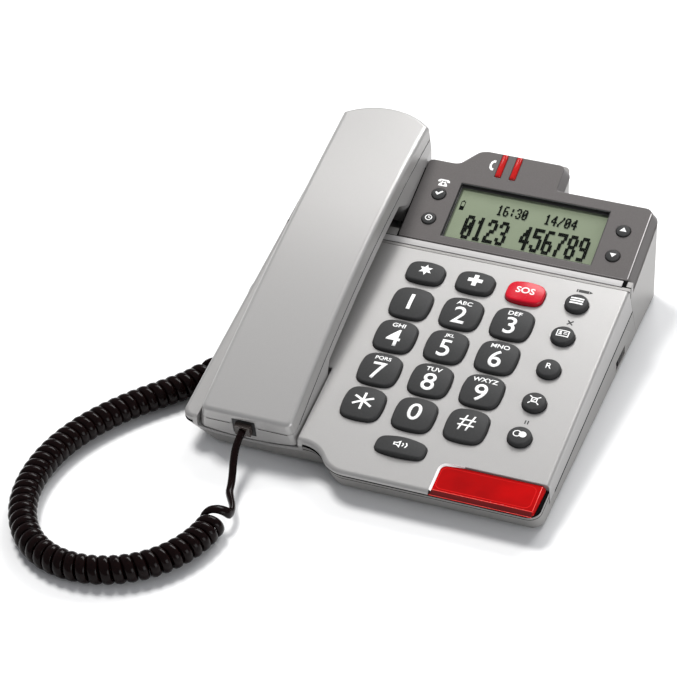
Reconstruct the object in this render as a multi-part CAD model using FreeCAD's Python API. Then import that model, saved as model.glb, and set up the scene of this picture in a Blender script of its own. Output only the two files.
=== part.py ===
import FreeCAD, Part
import math
import os

# Desk telephone with large keys, an alarm lamp and a corded handset.
# Millimetres. X runs to the right, Y to the back and Z up. The origin lies on the table, under
# the middle of the box round the phone without its cord.

os.makedirs("parts", exist_ok=True)
Vec = FreeCAD.Vector
FAR = 400.0                      # half the size of a cutting block that reaches past everything

# ------------------------------------------------------------------ casing
base_width = 176.0
across = base_width / 176.0      # what lies across the casing keeps its share of the width
wall = 2.2                       # casing wall
foot_height = 2.0                # the casing's underside stands this far off the table
gap = 0.3                        # running gap round anything that moves
fit = 0.15                       # gap round a piece that sits in its seat

deck_tilt = 8.5                  # slope of the key deck
deck_from_right = 71.5 * across  # middle key column, in from the right-hand side
deck_y = -22.0                   # the "5" key's row
deck_z = 28.7                    # height of the deck at the "5" key
deck_edge_radius = 1.9

front_y = -107.0                 # front lip, at the parting line
front_left_y = -94.0             # front of the narrower left-hand part
rear_y = 88.0
rear_left_y = 90.0
hump_rear_y = 107.0              # rear of the hump behind the display
hump_left_x = -9.0 * across
hump_right_x = 37.0 * across
hump_shoulder = 14.0             # the hump's rear face slants over this much of its left side
left_draw_in = 1.8               # the left-hand side draws in by this much towards the back
sweep_start_x = -28.0 * across   # the front edge sweeps forward from here ...
sweep_end_x = -3.5 * across      # ... to here
parting_z = 14.0                 # height of the parting line at the front lip
parting_slope = 5.8
skirt_drop = 8.0                 # the upper shell's right-hand skirt reaches this much lower
corner_radius = 6.0

bottom_front_y = -100.0          # the casing narrows below the parting line to this outline
bottom_front_left_y = -89.0
bottom_left_x = -77.5 * across
bottom_sweep_start_x = -20.5 * across
bottom_sweep_end_x = -5.0 * across

joint_top_y = 38.0               # sloping joint between the front casing and the rear housing
joint_top_z = 33.0
joint_bottom_y = 51.0

# ------------------------------------------------------------------ keys
key_pitch_u = 25.0 * across
key_pitch_v = 22.3
key_width = 19.5 * across
key_height = 20.0
key_corner = 5.2
key_side_radius = 34.0
top_key_v = 43.3
top_key_width = 18.6 * across
top_key_height = 13.5
top_key_corner = 4.4
round_key_u = 50.2 * across
round_key_diameter = 11.2
round_key_rows = [43.3, 21.4, -0.5, -22.4, -44.3]
pill_key_u = 0.5
pill_key_v = -65.3
pill_key_width = 24.0 * across
pill_key_height = 10.9
pill_key_corner = 3.8
pill_key_side_radius = 60.0
key_rise = 3.0                   # crown of a key above the deck
key_dome_radius = 46.0
key_edge_radius = 1.1
key_travel = 1.5
key_flange = 0.9                 # the rim that stops a key falling out
flange_thickness = 1.0
stem_radius = 2.4
stem_length = 0.8

# ------------------------------------------------------------------ display console
console_tilt = 16.0
console_v = 65.2                 # where the console starts, measured up the deck
console_thickness = 6.0
console_draft = 2.4              # the slab's sides lean in by this much from foot to face
console_left_u = -47.0 * across
console_right_u = 68.8 * across
console_rear_w = 45.0
hump_rear_w = 61.0
hump_step_u = 19.5 * across
console_shoulder_w = 50.0        # the left-hand shoulder stands this far up the slope ...
console_shoulder_u = 16.0        # ... and is this wide before it rises to the hump
console_rise_u = 24.0
window_left_u = -27.0 * across
window_right_u = 49.0 * across
window_front_w = 5.0
window_rear_w = 39.0
window_thickness = 1.0
window_recess = 1.5
lcd_thickness = 1.6
console_board_margin = 5.0       # the board stops this far short of the console's sides
console_board_front_w = 4.0
console_board_rear_w = 42.0
console_board_thickness = 1.0
console_button_diameter = 6.8
console_button_rise = 1.0
console_button_rim = 0.9         # the rim under the cover that keeps a button in
console_button_edge = 0.5
console_buttons = {
    "button_ok": (-35.6 * across, 29.4),
    "button_clock": (-35.6 * across, 13.6),
    "button_up": (58.2 * across, 28.6),
    "button_down": (57.5 * across, 12.9),
}
light_bar_width = 3.0
light_bar_front_w = 46.3
light_bar_rise = 0.8
light_bars = {"light_bar_left": -11.0 * across, "light_bar_right": -3.6 * across}

# ------------------------------------------------------------------ alarm lamp
lamp_left_u = 20.4 * across
lamp_rear_v = -67.5
lamp_wall = 1.8
lamp_sink = 0.9                  # the lens lies this far below the deck
lamp_corner = 4.0
lamp_crease_v = -83.5            # the face folds down to the front lip here
lamp_front_slope = 29.0
lamp_bevel = 1.7
lamp_side = 1.2                  # the lens stops this far short of the casing's side
lamp_board_depth = 8.5
lamp_board_half = 18.0
lamp_board_width = 8.0
led_pitch = 13.0
led_radius = 1.5

# ------------------------------------------------------------------ handset and its cradle
handset_x = -55.2 * across
handset_y = -95.3                # front end of the handset's top face
handset_z = 25.2
handset_tilt = 12.2
handset_length = 204.6
handset_top_half = 22.1 * across
handset_low_half = 24.2 * across
handset_flare_depth = 10.6
handset_arch = 6.0
handset_seam = 6.5               # the seam runs this far below the top face
grip_depth = 10.6
mouth_block_length = 34.0
mouth_edge_depth = 12.8
mouth_belly_depth = 15.5
ear_block_length = 51.1
ear_block_start = handset_length - ear_block_length
ear_block_depth = 27.0
ear_bow = 10.7                   # the ear end bows out by this much
handset_wall = 2.0
handset_edge_radius = 2.4
cradle_gap = 0.6
ear_well_gap = 1.2
mouth_well_length = 46.0
ear_well_start = ear_block_start - 11.0

handset_corner_radius = 3.5
ear_face_radius = 1.0
dish_radius = 130.0
ear_holes = [1, 6, 12]
ear_hole_pitch = 4.2
ear_hole_radius = 0.9
jack_x = -1.5                    # the cord's socket sits a little left of the middle
jack_n = -8.0
hook_s = ear_block_start + 6.5    # the hook plunger stands in the ear well, this far along
hook_half_x = 3.0
hook_half_s = 2.0
hook_length = 14.0
earpiece_s = handset_length - 25.6
earpiece_radius = 16.0
mic_s = 18.0
mic_slot_pitch = 3.2

# ------------------------------------------------------------------ inside and underneath
boss_radius = 3.6
boss_joint_z = 12.0              # screw bosses of the lower and upper parts meet here
screw_radius = 1.4
screw_head_radius = 2.8
screw_head_height = 1.6
screw_head_sink = 0.4            # the heads lie this deep in the underside
screw_length = 16.0
front_screws = [(80.0 * across, -70.0), (79.0 * across, 31.0), (-23.6 * across, -48.0),
                (-23.6 * across, 20.0)]
rear_screws = [(81.0 * across, 62.0), (-18.0 * across, 82.0)]
pilot_clearance = 0.1
head_clearance = 0.3
foot_radius = 6.5
foot_seat = 0.9
foot_places = [(74.0 * across, -84.0), (74.0 * across, 74.0), (-64.0 * across, -76.0),
               (-64.0 * across, 76.0)]
bay_left = 8.0 * across          # battery bay
cell_count = 4
cell_pitch = 11.5
bay_right = bay_left + cell_count * cell_pitch
bay_front = -18.0
bay_rear = 29.0
bay_top = 13.0
bay_wall_thickness = 1.4
cell_radius = 5.2
cell_length = 44.5
door_lip = 1.2
door_thickness = 1.2
door_travel = 6.0
speaker_x = 52.0 * across
speaker_y = 62.0
speaker_radius = 19.0
speaker_depth = 12.0
speaker_slots = 7
speaker_slot_pitch = 4.6
line_socket_x = 18.0 * across
line_socket_z = 14.0
line_width = 13.0
line_height = 12.0
line_length = 14.0
line_opening_width = 9.8
line_opening_height = 6.8
line_opening_depth = 11.0
base_socket_x = -78.5 * across   # socket of the handset cord, in the left-hand wall
base_socket_y = 30.0
base_socket_z = 9.4
switch_y = 24.5                  # ringer switch in the right-hand wall
switch_z = 6.2
switch_recess = 1.4
switch_pocket_half = 7.5
switch_stem_half = 1.8
switch_stem_height = 1.8
switch_knob_half = 3.6
switch_knob_height = 4.0
switch_travel = 2.5
mat_thickness = 1.0
mat_left_u = -31.5 * across
mat_right_u = 56.5 * across
mat_low_v = -56.0
mat_high_v = 51.5
mat_tongue_half = 13.5 * across
mat_tongue_v = -73.0
mat_dome_height = 0.9
mat_dome_foot = 3.6
mat_dome_top = 2.6
board_thickness = 1.6

# ------------------------------------------------------------------ cord
cord_diameter = 3.6
coil_diameter = 13.2
plug_width = 7.6
plug_height = 6.0
plug_length = 12.0
plug_stand = 2.5                 # a plug stands this far out of its socket
plug_run = 7.6                   # a lead leaves its plug straight for this far
jack_width = 11.0
jack_height = 9.6
jack_length = 14.0

nodes = {}


def frame_at(x, y, z, tilt):
    """A local frame tilted about X, with its third axis pointing out of the surface."""
    return FreeCAD.Placement(Vec(x, y, z), FreeCAD.Rotation(Vec(1, 0, 0), tilt))


deck_x = base_width / 2 - deck_from_right
deck = frame_at(deck_x, deck_y, deck_z, deck_tilt)
console_origin = deck.multVec(Vec(0, console_v, 0))
console = frame_at(deck_x, console_origin.y, console_origin.z, console_tilt)
handset = frame_at(handset_x, handset_y, handset_z, handset_tilt)
parting = frame_at(0, front_y, parting_z, parting_slope)
skirt_line = frame_at(0, front_y, parting_z - skirt_drop, parting_slope)


# ------------------------------------------------------------------ helpers
def moved(shape, frame):
    """A copy of a shape drawn in a local frame, put where that frame lies."""
    copy = shape.copy()
    copy.Placement = frame.multiply(copy.Placement)
    return copy


def box(low, high):
    size = Vec(*high) - Vec(*low)
    return Part.makeBox(size.x, size.y, size.z, Vec(*low))


def above(frame, height=0.0):
    """Everything above a tilted plane, or above its parallel at the given height."""
    return moved(box((-FAR, -FAR, height), (FAR, FAR, height + FAR)), frame)


def below(frame, height=0.0):
    return moved(box((-FAR, -FAR, height - FAR), (FAR, FAR, height)), frame)


def rounded_outline(corners):
    """Closed wire through corners given as (x, y, radius), with a tangent arc at each corner."""
    edges = []
    count = len(corners)
    starts, ends, middles = [], [], []
    for index in range(count):
        before = Vec(*corners[index - 1][:2])
        here = Vec(*corners[index][:2])
        after = Vec(*corners[(index + 1) % count][:2])
        radius = corners[index][2]
        back = (before - here).normalize()
        ahead = (after - here).normalize()
        half = back.getAngle(ahead) / 2
        reach = radius / math.tan(half)
        bisector = (back + ahead).normalize()
        starts.append(here + back * reach)
        ends.append(here + ahead * reach)
        middles.append(here + bisector * (radius / math.sin(half) - radius))
    for index in range(count):
        edges.append(Part.Arc(starts[index], middles[index], ends[index]).toShape())
        following = starts[(index + 1) % count]
        if (following - ends[index]).Length > 1e-4:
            edges.append(Part.LineSegment(ends[index], following).toShape())
    return Part.Wire(edges)


def squircle(width, height, corner, side):
    """A rectangle with bowed sides: four side arcs and four corner arcs, all tangent."""
    half_x, half_y = width / 2, height / 2
    top_centre = Vec(0, half_y - side)
    right_centre = Vec(half_x - side, 0)
    middle = (top_centre + right_centre) * 0.5
    span = right_centre - top_centre
    rise = math.sqrt((side - corner) ** 2 - (span.Length / 2) ** 2)
    across = Vec(-span.y, span.x).normalize()
    corner_centre = middle + across * rise
    if corner_centre.x < 0:
        corner_centre = middle - across * rise
    top_tangent = top_centre + (corner_centre - top_centre).normalize() * side
    right_tangent = right_centre + (corner_centre - right_centre).normalize() * side
    diagonal = corner_centre + (top_tangent + right_tangent - corner_centre * 2).normalize() * corner
    turns = [(1, 1), (-1, 1), (-1, -1), (1, -1)]
    edges = []
    for sign_x, sign_y in turns:
        ends = [Vec(p.x * sign_x, p.y * sign_y) for p in (right_tangent, diagonal, top_tangent)]
        edges.append(Part.Arc(*ends).toShape())
    flip = [(top_tangent, Vec(0, half_y), 1), (top_tangent, Vec(0, -half_y), -1)]
    for tangent, crown, sign in flip:
        edges.append(Part.Arc(Vec(tangent.x, tangent.y * sign), crown,
                              Vec(-tangent.x, tangent.y * sign)).toShape())
    flip = [(right_tangent, Vec(half_x, 0), 1), (right_tangent, Vec(-half_x, 0), -1)]
    for tangent, crown, sign in flip:
        edges.append(Part.Arc(Vec(tangent.x * sign, tangent.y), crown,
                              Vec(tangent.x * sign, -tangent.y)).toShape())
    return Part.Wire(Part.__sortEdges__(edges))


def prism(wire, low, high):
    """A flat outline pulled up from one height to another."""
    face = Part.Face(wire)
    face.translate(Vec(0, 0, low))
    return face.extrude(Vec(0, 0, high - low))


def side_prism(corners, left, right):
    """A polygon drawn in the YZ plane as (y, z), pulled out from left to right."""
    points = [Vec(left, y, z) for y, z in corners]
    face = Part.Face(Part.makePolygon(points + points[:1]))
    return face.extrude(Vec(right - left, 0, 0))


def inset(wire, amount):
    return wire.makeOffset2D(-amount) if amount else wire.copy()


def cylinder(radius, low, high, x=0.0, y=0.0):
    return Part.makeCylinder(radius, high - low, Vec(x, y, low), Vec(0, 0, 1))


def dome(radius, crown):
    """A ball whose highest point is at the given height, its poles and seam out of the way."""
    centre = Vec(0, 0, crown - radius)
    ball = Part.makeSphere(radius, centre, Vec(1, 0, 0))
    ball.rotate(centre, Vec(1, 0, 0), 180)
    return ball


def fillet_where(shape, radius, chosen):
    """Round every edge that the test picks by its middle point and its box."""
    edges = []
    for edge in shape.Edges:
        middle = edge.valueAt((edge.FirstParameter + edge.LastParameter) / 2)
        if chosen(middle, edge):
            edges.append(edge)
    return shape.makeFillet(radius, edges)


# ------------------------------------------------------------------ the casing's outer form
right_x = base_width / 2
left_x = -base_width / 2


def casing_outline(front, front_left, left, sweep_start, sweep_end):
    """Plan of the casing, clockwise from the front right-hand corner."""
    # The sweep is two tangent arcs, each turning by the same angle.
    across = sweep_end - sweep_start
    forward = front_left - front
    turn = 2 * math.atan(forward / across)
    sweep_radius = across / (2 * math.sin(turn))
    reach = sweep_radius * math.tan(turn / 2)
    return rounded_outline([
        (right_x, front, corner_radius),
        (sweep_end - reach, front, sweep_radius),
        (sweep_start + reach, front_left, sweep_radius),
        (left, front_left, corner_radius),
        (left + left_draw_in, rear_left_y, corner_radius),
        (hump_left_x - hump_shoulder, rear_left_y, corner_radius),
        (hump_left_x, hump_rear_y, corner_radius),
        (hump_right_x, hump_rear_y, corner_radius / 2),
        (hump_right_x, rear_y, corner_radius / 2),
        (right_x, rear_y, corner_radius),
    ])


upper_outline = casing_outline(front_y, front_left_y, left_x, sweep_start_x, sweep_end_x)
bottom_outline = casing_outline(bottom_front_y, bottom_front_left_y, bottom_left_x,
                                bottom_sweep_start_x, bottom_sweep_end_x)


def casing_form(amount):
    """The closed form inside the casing's outer faces, moved in by the given amount."""
    low = inset(bottom_outline, amount)
    low.translate(Vec(0, 0, foot_height))
    high = inset(upper_outline, amount)
    high.translate(Vec(0, 0, parting_z))
    taper = Part.makeLoft([low, high], True, True)
    upright = prism(inset(upper_outline, amount), parting_z, FAR / 4)
    return taper.fuse(upright)


form = casing_form(0)
hollow_form = casing_form(wall)


def joint_y(z):
    """Where the sloping joint between the casings lies at a height."""
    slope = (joint_bottom_y - joint_top_y) / (foot_height - joint_top_z)
    return joint_top_y + (z - joint_top_z) * slope


def front_zone(shift=0.0):
    low, high = -50.0, 120.0
    return side_prism([(-FAR, low), (joint_y(low) + shift, low), (joint_y(high) + shift, high),
                       (-FAR, high)], -FAR, FAR)


def rear_zone(shift=0.0):
    low, high = -50.0, 120.0
    return side_prism([(FAR, low), (joint_y(low) + shift, low), (joint_y(high) + shift, high),
                       (FAR, high)], -FAR, FAR)


# ------------------------------------------------------------------ the cradle's two wells
def block_section(half, edge, belly):
    """Section of the mouth block or of its well: straight sides and a round belly."""
    tall = 60.0
    points = [Vec(-half, 0, tall), Vec(-half, 0, -edge), Vec(half, 0, -edge), Vec(half, 0, tall)]
    edges = [
        Part.LineSegment(points[0], points[1]).toShape(),
        Part.Arc(points[1], Vec(0, 0, -belly), points[2]).toShape(),
        Part.LineSegment(points[2], points[3]).toShape(),
        Part.LineSegment(points[3], points[0]).toShape(),
    ]
    return Part.Face(Part.Wire(edges))


def mouth_well(grow):
    section = block_section(handset_low_half + cradle_gap + grow,
                            mouth_edge_depth + cradle_gap + grow,
                            mouth_belly_depth + cradle_gap + grow)
    section.translate(Vec(0, -FAR / 4, 0))
    return moved(section.extrude(Vec(0, FAR / 4 + mouth_well_length + grow, 0)), handset)


def ear_well(grow):
    half = handset_low_half + cradle_gap + grow
    return moved(box((-half, ear_well_start - grow, -ear_block_depth - ear_well_gap - grow),
                     (half, FAR, 60)), handset)


# ------------------------------------------------------------------ key outlines
round_names = ["key_menu", "key_caller_list", "key_recall", "key_mute", "key_redial"]


def key_table():
    """Every key on the deck as name: (u, v, outline function of a growth)."""
    table = {}
    digits = ["key_1", "key_2", "key_3", "key_4", "key_5", "key_6", "key_7", "key_8", "key_9",
              "key_star", "key_0", "key_hash"]
    for index, name in enumerate(digits):
        column, row = index % 3 - 1, 1 - index // 3
        table[name] = (column * key_pitch_u, row * key_pitch_v,
                       lambda grow: squircle(key_width + 2 * grow, key_height + 2 * grow,
                                             key_corner + grow, key_side_radius))
    for index, name in enumerate(["key_memory_star", "key_memory_plus", "key_alarm"]):
        table[name] = ((index - 1) * key_pitch_u, top_key_v,
                       lambda grow: squircle(top_key_width + 2 * grow, top_key_height + 2 * grow,
                                             top_key_corner + grow, key_side_radius))
    for name, row in zip(round_names, round_key_rows):
        table[name] = (round_key_u, row,
                       lambda grow: Part.Wire(Part.makeCircle(round_key_diameter / 2 + grow)))
    table["key_speaker"] = (pill_key_u, pill_key_v,
                            lambda grow: squircle(pill_key_width + 2 * grow,
                                                  pill_key_height + 2 * grow,
                                                  pill_key_corner + grow,
                                                  pill_key_side_radius))
    return table


keys = key_table()


# ------------------------------------------------------------------ upper shell
def lamp_room(margin, low, high, right):
    """The front right-hand corner of the deck, its inner corner rounded, moved in by a margin."""
    outline = rounded_outline([
        (right, -FAR / 4, 1), (right, lamp_rear_v - margin, 1),
        (lamp_left_u + margin, lamp_rear_v - margin, lamp_corner - margin / 2),
        (lamp_left_u + margin, -FAR / 4, 1)])
    return moved(prism(outline, low, high), deck)


lamp_zone = lamp_room(0, -FAR / 4, FAR / 4, FAR / 2)


def upper_shell():
    outer = form.common(below(deck)).common(above(parting)).common(front_zone(-fit))
    skirt = form.common(above(skirt_line)).common(below(parting)).common(front_zone(-fit))
    skirt = skirt.common(box((right_x - wall, deck.multVec(Vec(0, lamp_rear_v, 0)).y, -FAR),
                             (FAR, FAR, FAR)))

    def on_rim(middle, edge):
        local = deck.inverse().multVec(middle)
        along_joint = edge.BoundBox.XLength > base_width / 2 and middle.y > 0
        return abs(local.z) < 0.01 and middle.y < joint_top_y - 4 and not along_joint

    outer = fillet_where(outer, deck_edge_radius, on_rim)
    hollow = hollow_form.common(below(deck, -wall))
    shell = outer.fuse(skirt).cut(hollow)
    trough = form.common(mouth_well(wall)).common(below(deck, -0.5)).common(front_zone(-fit))
    shell = shell.fuse(trough).cut(mouth_well(0))
    shell = shell.cut(lamp_zone)
    for u, v, outline in keys.values():
        hole = prism(outline(gap), -FAR / 8, FAR / 8)
        hole.translate(Vec(u, v, 0))
        shell = shell.cut(moved(hole, deck))
    for x, y in front_screws:
        boss = cylinder(boss_radius, boss_joint_z + fit, FAR / 4, x, y).common(below(deck, -wall / 2))
        pilot = cylinder(screw_radius + pilot_clearance, 0, boss_joint_z + 8, x, y)
        shell = shell.fuse(boss).cut(pilot)
    return shell


nodes["upper_shell"] = upper_shell()


# ------------------------------------------------------------------ lower shell
def lower_shell():
    body = form.common(below(parting, -fit)).common(front_zone(-fit))
    floor_top = foot_height + wall
    hollow = hollow_form.common(box((-FAR, -FAR, floor_top), (FAR, FAR, FAR)))
    skirt_slot = above(skirt_line, -fit).common(
        box((right_x - wall - fit, deck.multVec(Vec(0, lamp_rear_v, 0)).y - fit, -FAR),
            (FAR, FAR, FAR)))
    shell = body.cut(hollow).cut(skirt_slot)
    tongue = prism(inset(bottom_outline, wall + fit), foot_height, floor_top)
    shell = shell.fuse(tongue)
    bay_wall = box((bay_left - bay_wall_thickness, bay_front - bay_wall_thickness, foot_height),
                   (bay_right + bay_wall_thickness, bay_rear + bay_wall_thickness, bay_top))
    bay = box((bay_left, bay_front, -1), (bay_right, bay_rear, bay_top + 1))
    shell = shell.fuse(bay_wall).cut(bay)
    for x, y in front_screws + rear_screws:
        boss = cylinder(boss_radius, foot_height, boss_joint_z, x, y)
        drill = cylinder(screw_radius + pilot_clearance, 0, boss_joint_z + 1, x, y)
        sink = cylinder(screw_head_radius + head_clearance, 0,
                        foot_height + screw_head_sink + screw_head_height, x, y)
        shell = shell.fuse(boss).cut(drill).cut(sink)
    for x, y in foot_places:
        shell = shell.cut(cylinder(foot_radius + fit, 0, foot_height + foot_seat, x, y))
    door_seat = box((bay_left - door_lip, bay_front - door_lip - door_travel - gap, 0),
                    (bay_right + door_lip, bay_rear + door_lip, foot_height + door_thickness + fit))
    shell = shell.cut(door_seat)
    for index in range(speaker_slots):
        offset = (index - (speaker_slots - 1) / 2) * speaker_slot_pitch
        half = math.sqrt(speaker_radius ** 2 - offset ** 2) - 3
        shell = shell.cut(box((speaker_x + offset - 0.8, speaker_y - half, 0),
                              (speaker_x + offset + 0.8, speaker_y + half, floor_top + 1)))
    socket_hole = box((-FAR, base_socket_y - jack_width / 2 - fit, base_socket_z - jack_height / 2 - fit),
                      (base_socket_x + jack_length, base_socket_y + jack_width / 2 + fit,
                       base_socket_z + jack_height / 2 + fit))
    shell = shell.cut(socket_hole)
    pocket = box((right_x - switch_recess, switch_y - switch_pocket_half, switch_z - 2.7),
                 (right_x + 1, switch_y + switch_pocket_half, switch_z + 2.7))
    slot_half = switch_stem_half + switch_travel + gap
    slot = box((right_x - wall - 1, switch_y - slot_half, switch_z - switch_stem_height / 2 - gap),
               (right_x + 1, switch_y + slot_half, switch_z + switch_stem_height / 2 + gap))
    shell = shell.cut(pocket).cut(slot)
    return shell.cut(mouth_well(wall + fit))


nodes["lower_shell"] = lower_shell()


# ------------------------------------------------------------------ rear housing
def rear_housing():
    rim_x = deck_x + console_left_u - fit
    left_part = box((-FAR, -FAR, -FAR), (rim_x, FAR, FAR)).common(below(deck))
    strip = below(deck).common(below(console, FAR / 4))
    strip = strip.common(box((rim_x, -FAR, -FAR), (FAR, console_origin.y - fit, FAR)))
    block = box((rim_x, console_origin.y - fit, -FAR), (FAR, FAR, FAR))
    block = block.common(below(console, -console_thickness))
    outer = form.common(rear_zone())
    left_part = outer.common(left_part)

    def on_left_rim(middle, edge):
        on_deck = abs(deck.inverse().multVec(middle).z) < 0.01
        return on_deck and middle.x < left_x + 12 and middle.y > joint_top_y + 8

    left_part = fillet_where(left_part, deck_edge_radius, on_left_rim)
    outer = left_part.fuse(outer.common(strip.fuse(block)))
    low_hollow = hollow_form.common(below(console, -console_thickness - wall))
    low_hollow = low_hollow.common(below(deck, -wall).fuse(
        box((rim_x + wall, console_origin.y + wall, -FAR), (FAR, FAR, FAR))))
    shell = outer.cut(low_hollow)
    trough = outer.common(ear_well(wall))
    shell = shell.fuse(trough).cut(ear_well(0))
    plunger_hole = box((-hook_half_x - gap, hook_s - hook_half_s - gap, -60),
                       (hook_half_x + gap, hook_s + hook_half_s + gap, 0))
    shell = shell.cut(moved(plunger_hole, handset))
    shell = shell.cut(box((line_socket_x - line_width / 2 - fit, hump_rear_y - line_length - 1,
                           line_socket_z - line_height / 2 - fit),
                          (line_socket_x + line_width / 2 + fit, FAR,
                           line_socket_z + line_height / 2 + fit)))
    for x, y in rear_screws:
        boss = cylinder(boss_radius, boss_joint_z + fit, FAR / 4, x, y)
        boss = boss.common(below(console, -console_thickness - wall / 2))
        pilot = cylinder(screw_radius + pilot_clearance, 0, boss_joint_z + 8, x, y)
        shell = shell.fuse(boss).cut(pilot)
    return shell


nodes["rear_housing"] = rear_housing()


# ------------------------------------------------------------------ console cover
def console_outline(grow):
    step = console_rear_w
    hump = hump_rear_w
    left = console_left_u
    right = console_right_u
    wire = rounded_outline([
        (right, 0, 2.5),
        (left, 0, 2.5),
        (left, console_shoulder_w, 2.5),
        (left + console_shoulder_u, console_shoulder_w, 8),
        (left + console_rise_u, hump, 8),
        (hump_step_u, hump, 3),
        (hump_step_u, step, 1.2),
        (right, step, 4),
    ])
    return wire.makeOffset2D(grow) if grow else wire


def console_cover():
    foot = console_outline(console_draft)
    foot.translate(Vec(0, 0, -console_thickness))
    slab = Part.makeLoft([foot, console_outline(0)], True, True)
    # The slab's front face stands upright against the deck, and its left face against the handset.
    slab = slab.common(box((console_left_u, 0, -FAR), (FAR, FAR, FAR)))
    inner = prism(console_outline(-wall), -console_thickness - 1, -wall)
    slab = slab.cut(inner)
    opening = box((window_left_u, window_front_w, -FAR), (window_right_u, window_rear_w, FAR))
    slab = slab.cut(opening)
    for u, w in console_buttons.values():
        slab = slab.cut(cylinder(console_button_diameter / 2 + gap, -FAR, FAR, u, w))
    return moved(slab, console)


nodes["console_cover"] = console_cover()


# ------------------------------------------------------------------ keys
def turned_cap(radius, crown, edge, low):
    """A round cap turned about its own axis: a face that falls off from a flat middle."""
    sag = radius * 0.07
    flat = radius * 0.15
    shoulder = Vec(radius - edge, 0, crown - sag)
    side = Vec(radius, 0, crown - sag - edge)
    knuckle = Vec(radius - edge + edge * math.sin(math.pi / 4), 0,
                  crown - sag - edge + edge * math.cos(math.pi / 4))
    middle = Vec((shoulder.x + flat) / 2, 0, crown - sag / 4)
    edges = [
        Part.LineSegment(Vec(0, 0, low), Vec(radius, 0, low)).toShape(),
        Part.LineSegment(Vec(radius, 0, low), side).toShape(),
        Part.Arc(side, knuckle, shoulder).toShape(),
        Part.Arc(shoulder, middle, Vec(flat, 0, crown)).toShape(),
        Part.LineSegment(Vec(flat, 0, crown), Vec(0, 0, crown)).toShape(),
        Part.LineSegment(Vec(0, 0, crown), Vec(0, 0, low)).toShape(),
    ]
    return Part.Face(Part.Wire(edges)).revolve(Vec(0, 0, 0), Vec(0, 0, 1), 360)


def key_cap(name, u, v, outline):
    """A domed cap with a stop rim under the deck and a stem for the rubber mat."""
    body_low = -wall - gap
    if name in round_names:
        cap = turned_cap(round_key_diameter / 2, key_rise, key_edge_radius,
                         body_low - flange_thickness)
        return finish_cap(cap, u, v, outline)
    cap = prism(outline(0), body_low - flange_thickness, key_rise + 2)
    cap = cap.common(dome(key_dome_radius, key_rise))

    def on_crown(middle, edge):
        return middle.z > 0.5

    cap = fillet_where(cap, key_edge_radius, on_crown)
    return finish_cap(cap, u, v, outline)


def finish_cap(cap, u, v, outline):
    """Add the stop rim and the stem, and put the cap in its place on the deck."""
    body_low = -wall - gap
    rim = prism(outline(key_flange), body_low - flange_thickness, body_low)
    stem = cylinder(stem_radius, body_low - flange_thickness - stem_length,
                    body_low - flange_thickness)
    cap = cap.fuse(rim).fuse(stem).removeSplitter()
    cap.translate(Vec(u, v, 0))
    return moved(cap, deck)


for name, (u, v, outline) in keys.items():
    nodes[name] = key_cap(name, u, v, outline)


# ------------------------------------------------------------------ handset
def arch_rise(s):
    """Height of the arched top face above its chord, at a distance along the handset."""
    middle = handset_length / 2
    return handset_arch * (1 - ((s - middle) / middle) ** 2)


def arch_arc(depth, start, end):
    """The arch, or its parallel at a depth, as one arc that runs past both ends."""
    centre = (start + end) / 2
    return [Vec(0, s, arch_rise(s) - depth) for s in (start, centre, end)]


def under_arch(depth):
    """Everything under the arched top face, or under its parallel at a depth."""
    top = arch_arc(depth, -10, handset_length + 10)
    foot = [Vec(0, top[2].y, -80), Vec(0, top[0].y, -80)]
    edges = [
        Part.Arc(*top).toShape(),
        Part.LineSegment(top[2], foot[0]).toShape(),
        Part.LineSegment(foot[0], foot[1]).toShape(),
        Part.LineSegment(foot[1], top[0]).toShape(),
    ]
    face = Part.Face(Part.Wire(edges))
    face.translate(Vec(-FAR / 4, 0, 0))
    return face.extrude(Vec(FAR / 2, 0, 0))


def handset_plan(amount):
    """Plan of the handset: a square front end, and a bowed ear end that stands upright."""
    half = handset_low_half - amount
    rear = handset_length - amount
    shoulder = rear - ear_bow
    edges = [
        Part.LineSegment(Vec(half, -FAR / 4), Vec(half, shoulder)).toShape(),
        Part.Arc(Vec(half, shoulder), Vec(0, rear), Vec(-half, shoulder)).toShape(),
        Part.LineSegment(Vec(-half, shoulder), Vec(-half, -FAR / 4)).toShape(),
        Part.LineSegment(Vec(-half, -FAR / 4), Vec(half, -FAR / 4)).toShape(),
    ]
    face = Part.Face(Part.Wire(edges))
    upright = handset.inverse().Rotation.multVec(Vec(0, 0, 1))
    face.translate(upright * (-FAR / 4))
    ahead_of_ear = face.extrude(upright * (FAR / 2))
    return ahead_of_ear.common(box((-FAR / 4, amount, -FAR), (FAR / 4, FAR, FAR)))


def handset_section(amount):
    """Section across the handset: sides that flare from the top face down."""
    tall = 10.0
    flare = (handset_low_half - handset_top_half) / handset_flare_depth
    low = handset_low_half - amount
    top = handset_top_half - amount - flare * tall
    points = [Vec(-top, 0, tall), Vec(-low, 0, -handset_flare_depth), Vec(-low, 0, -60),
              Vec(low, 0, -60), Vec(low, 0, -handset_flare_depth), Vec(top, 0, tall)]
    face = Part.Face(Part.makePolygon(points + points[:1]))
    face.translate(Vec(0, -10, 0))
    return face.extrude(Vec(0, handset_length + 20, 0))


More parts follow.
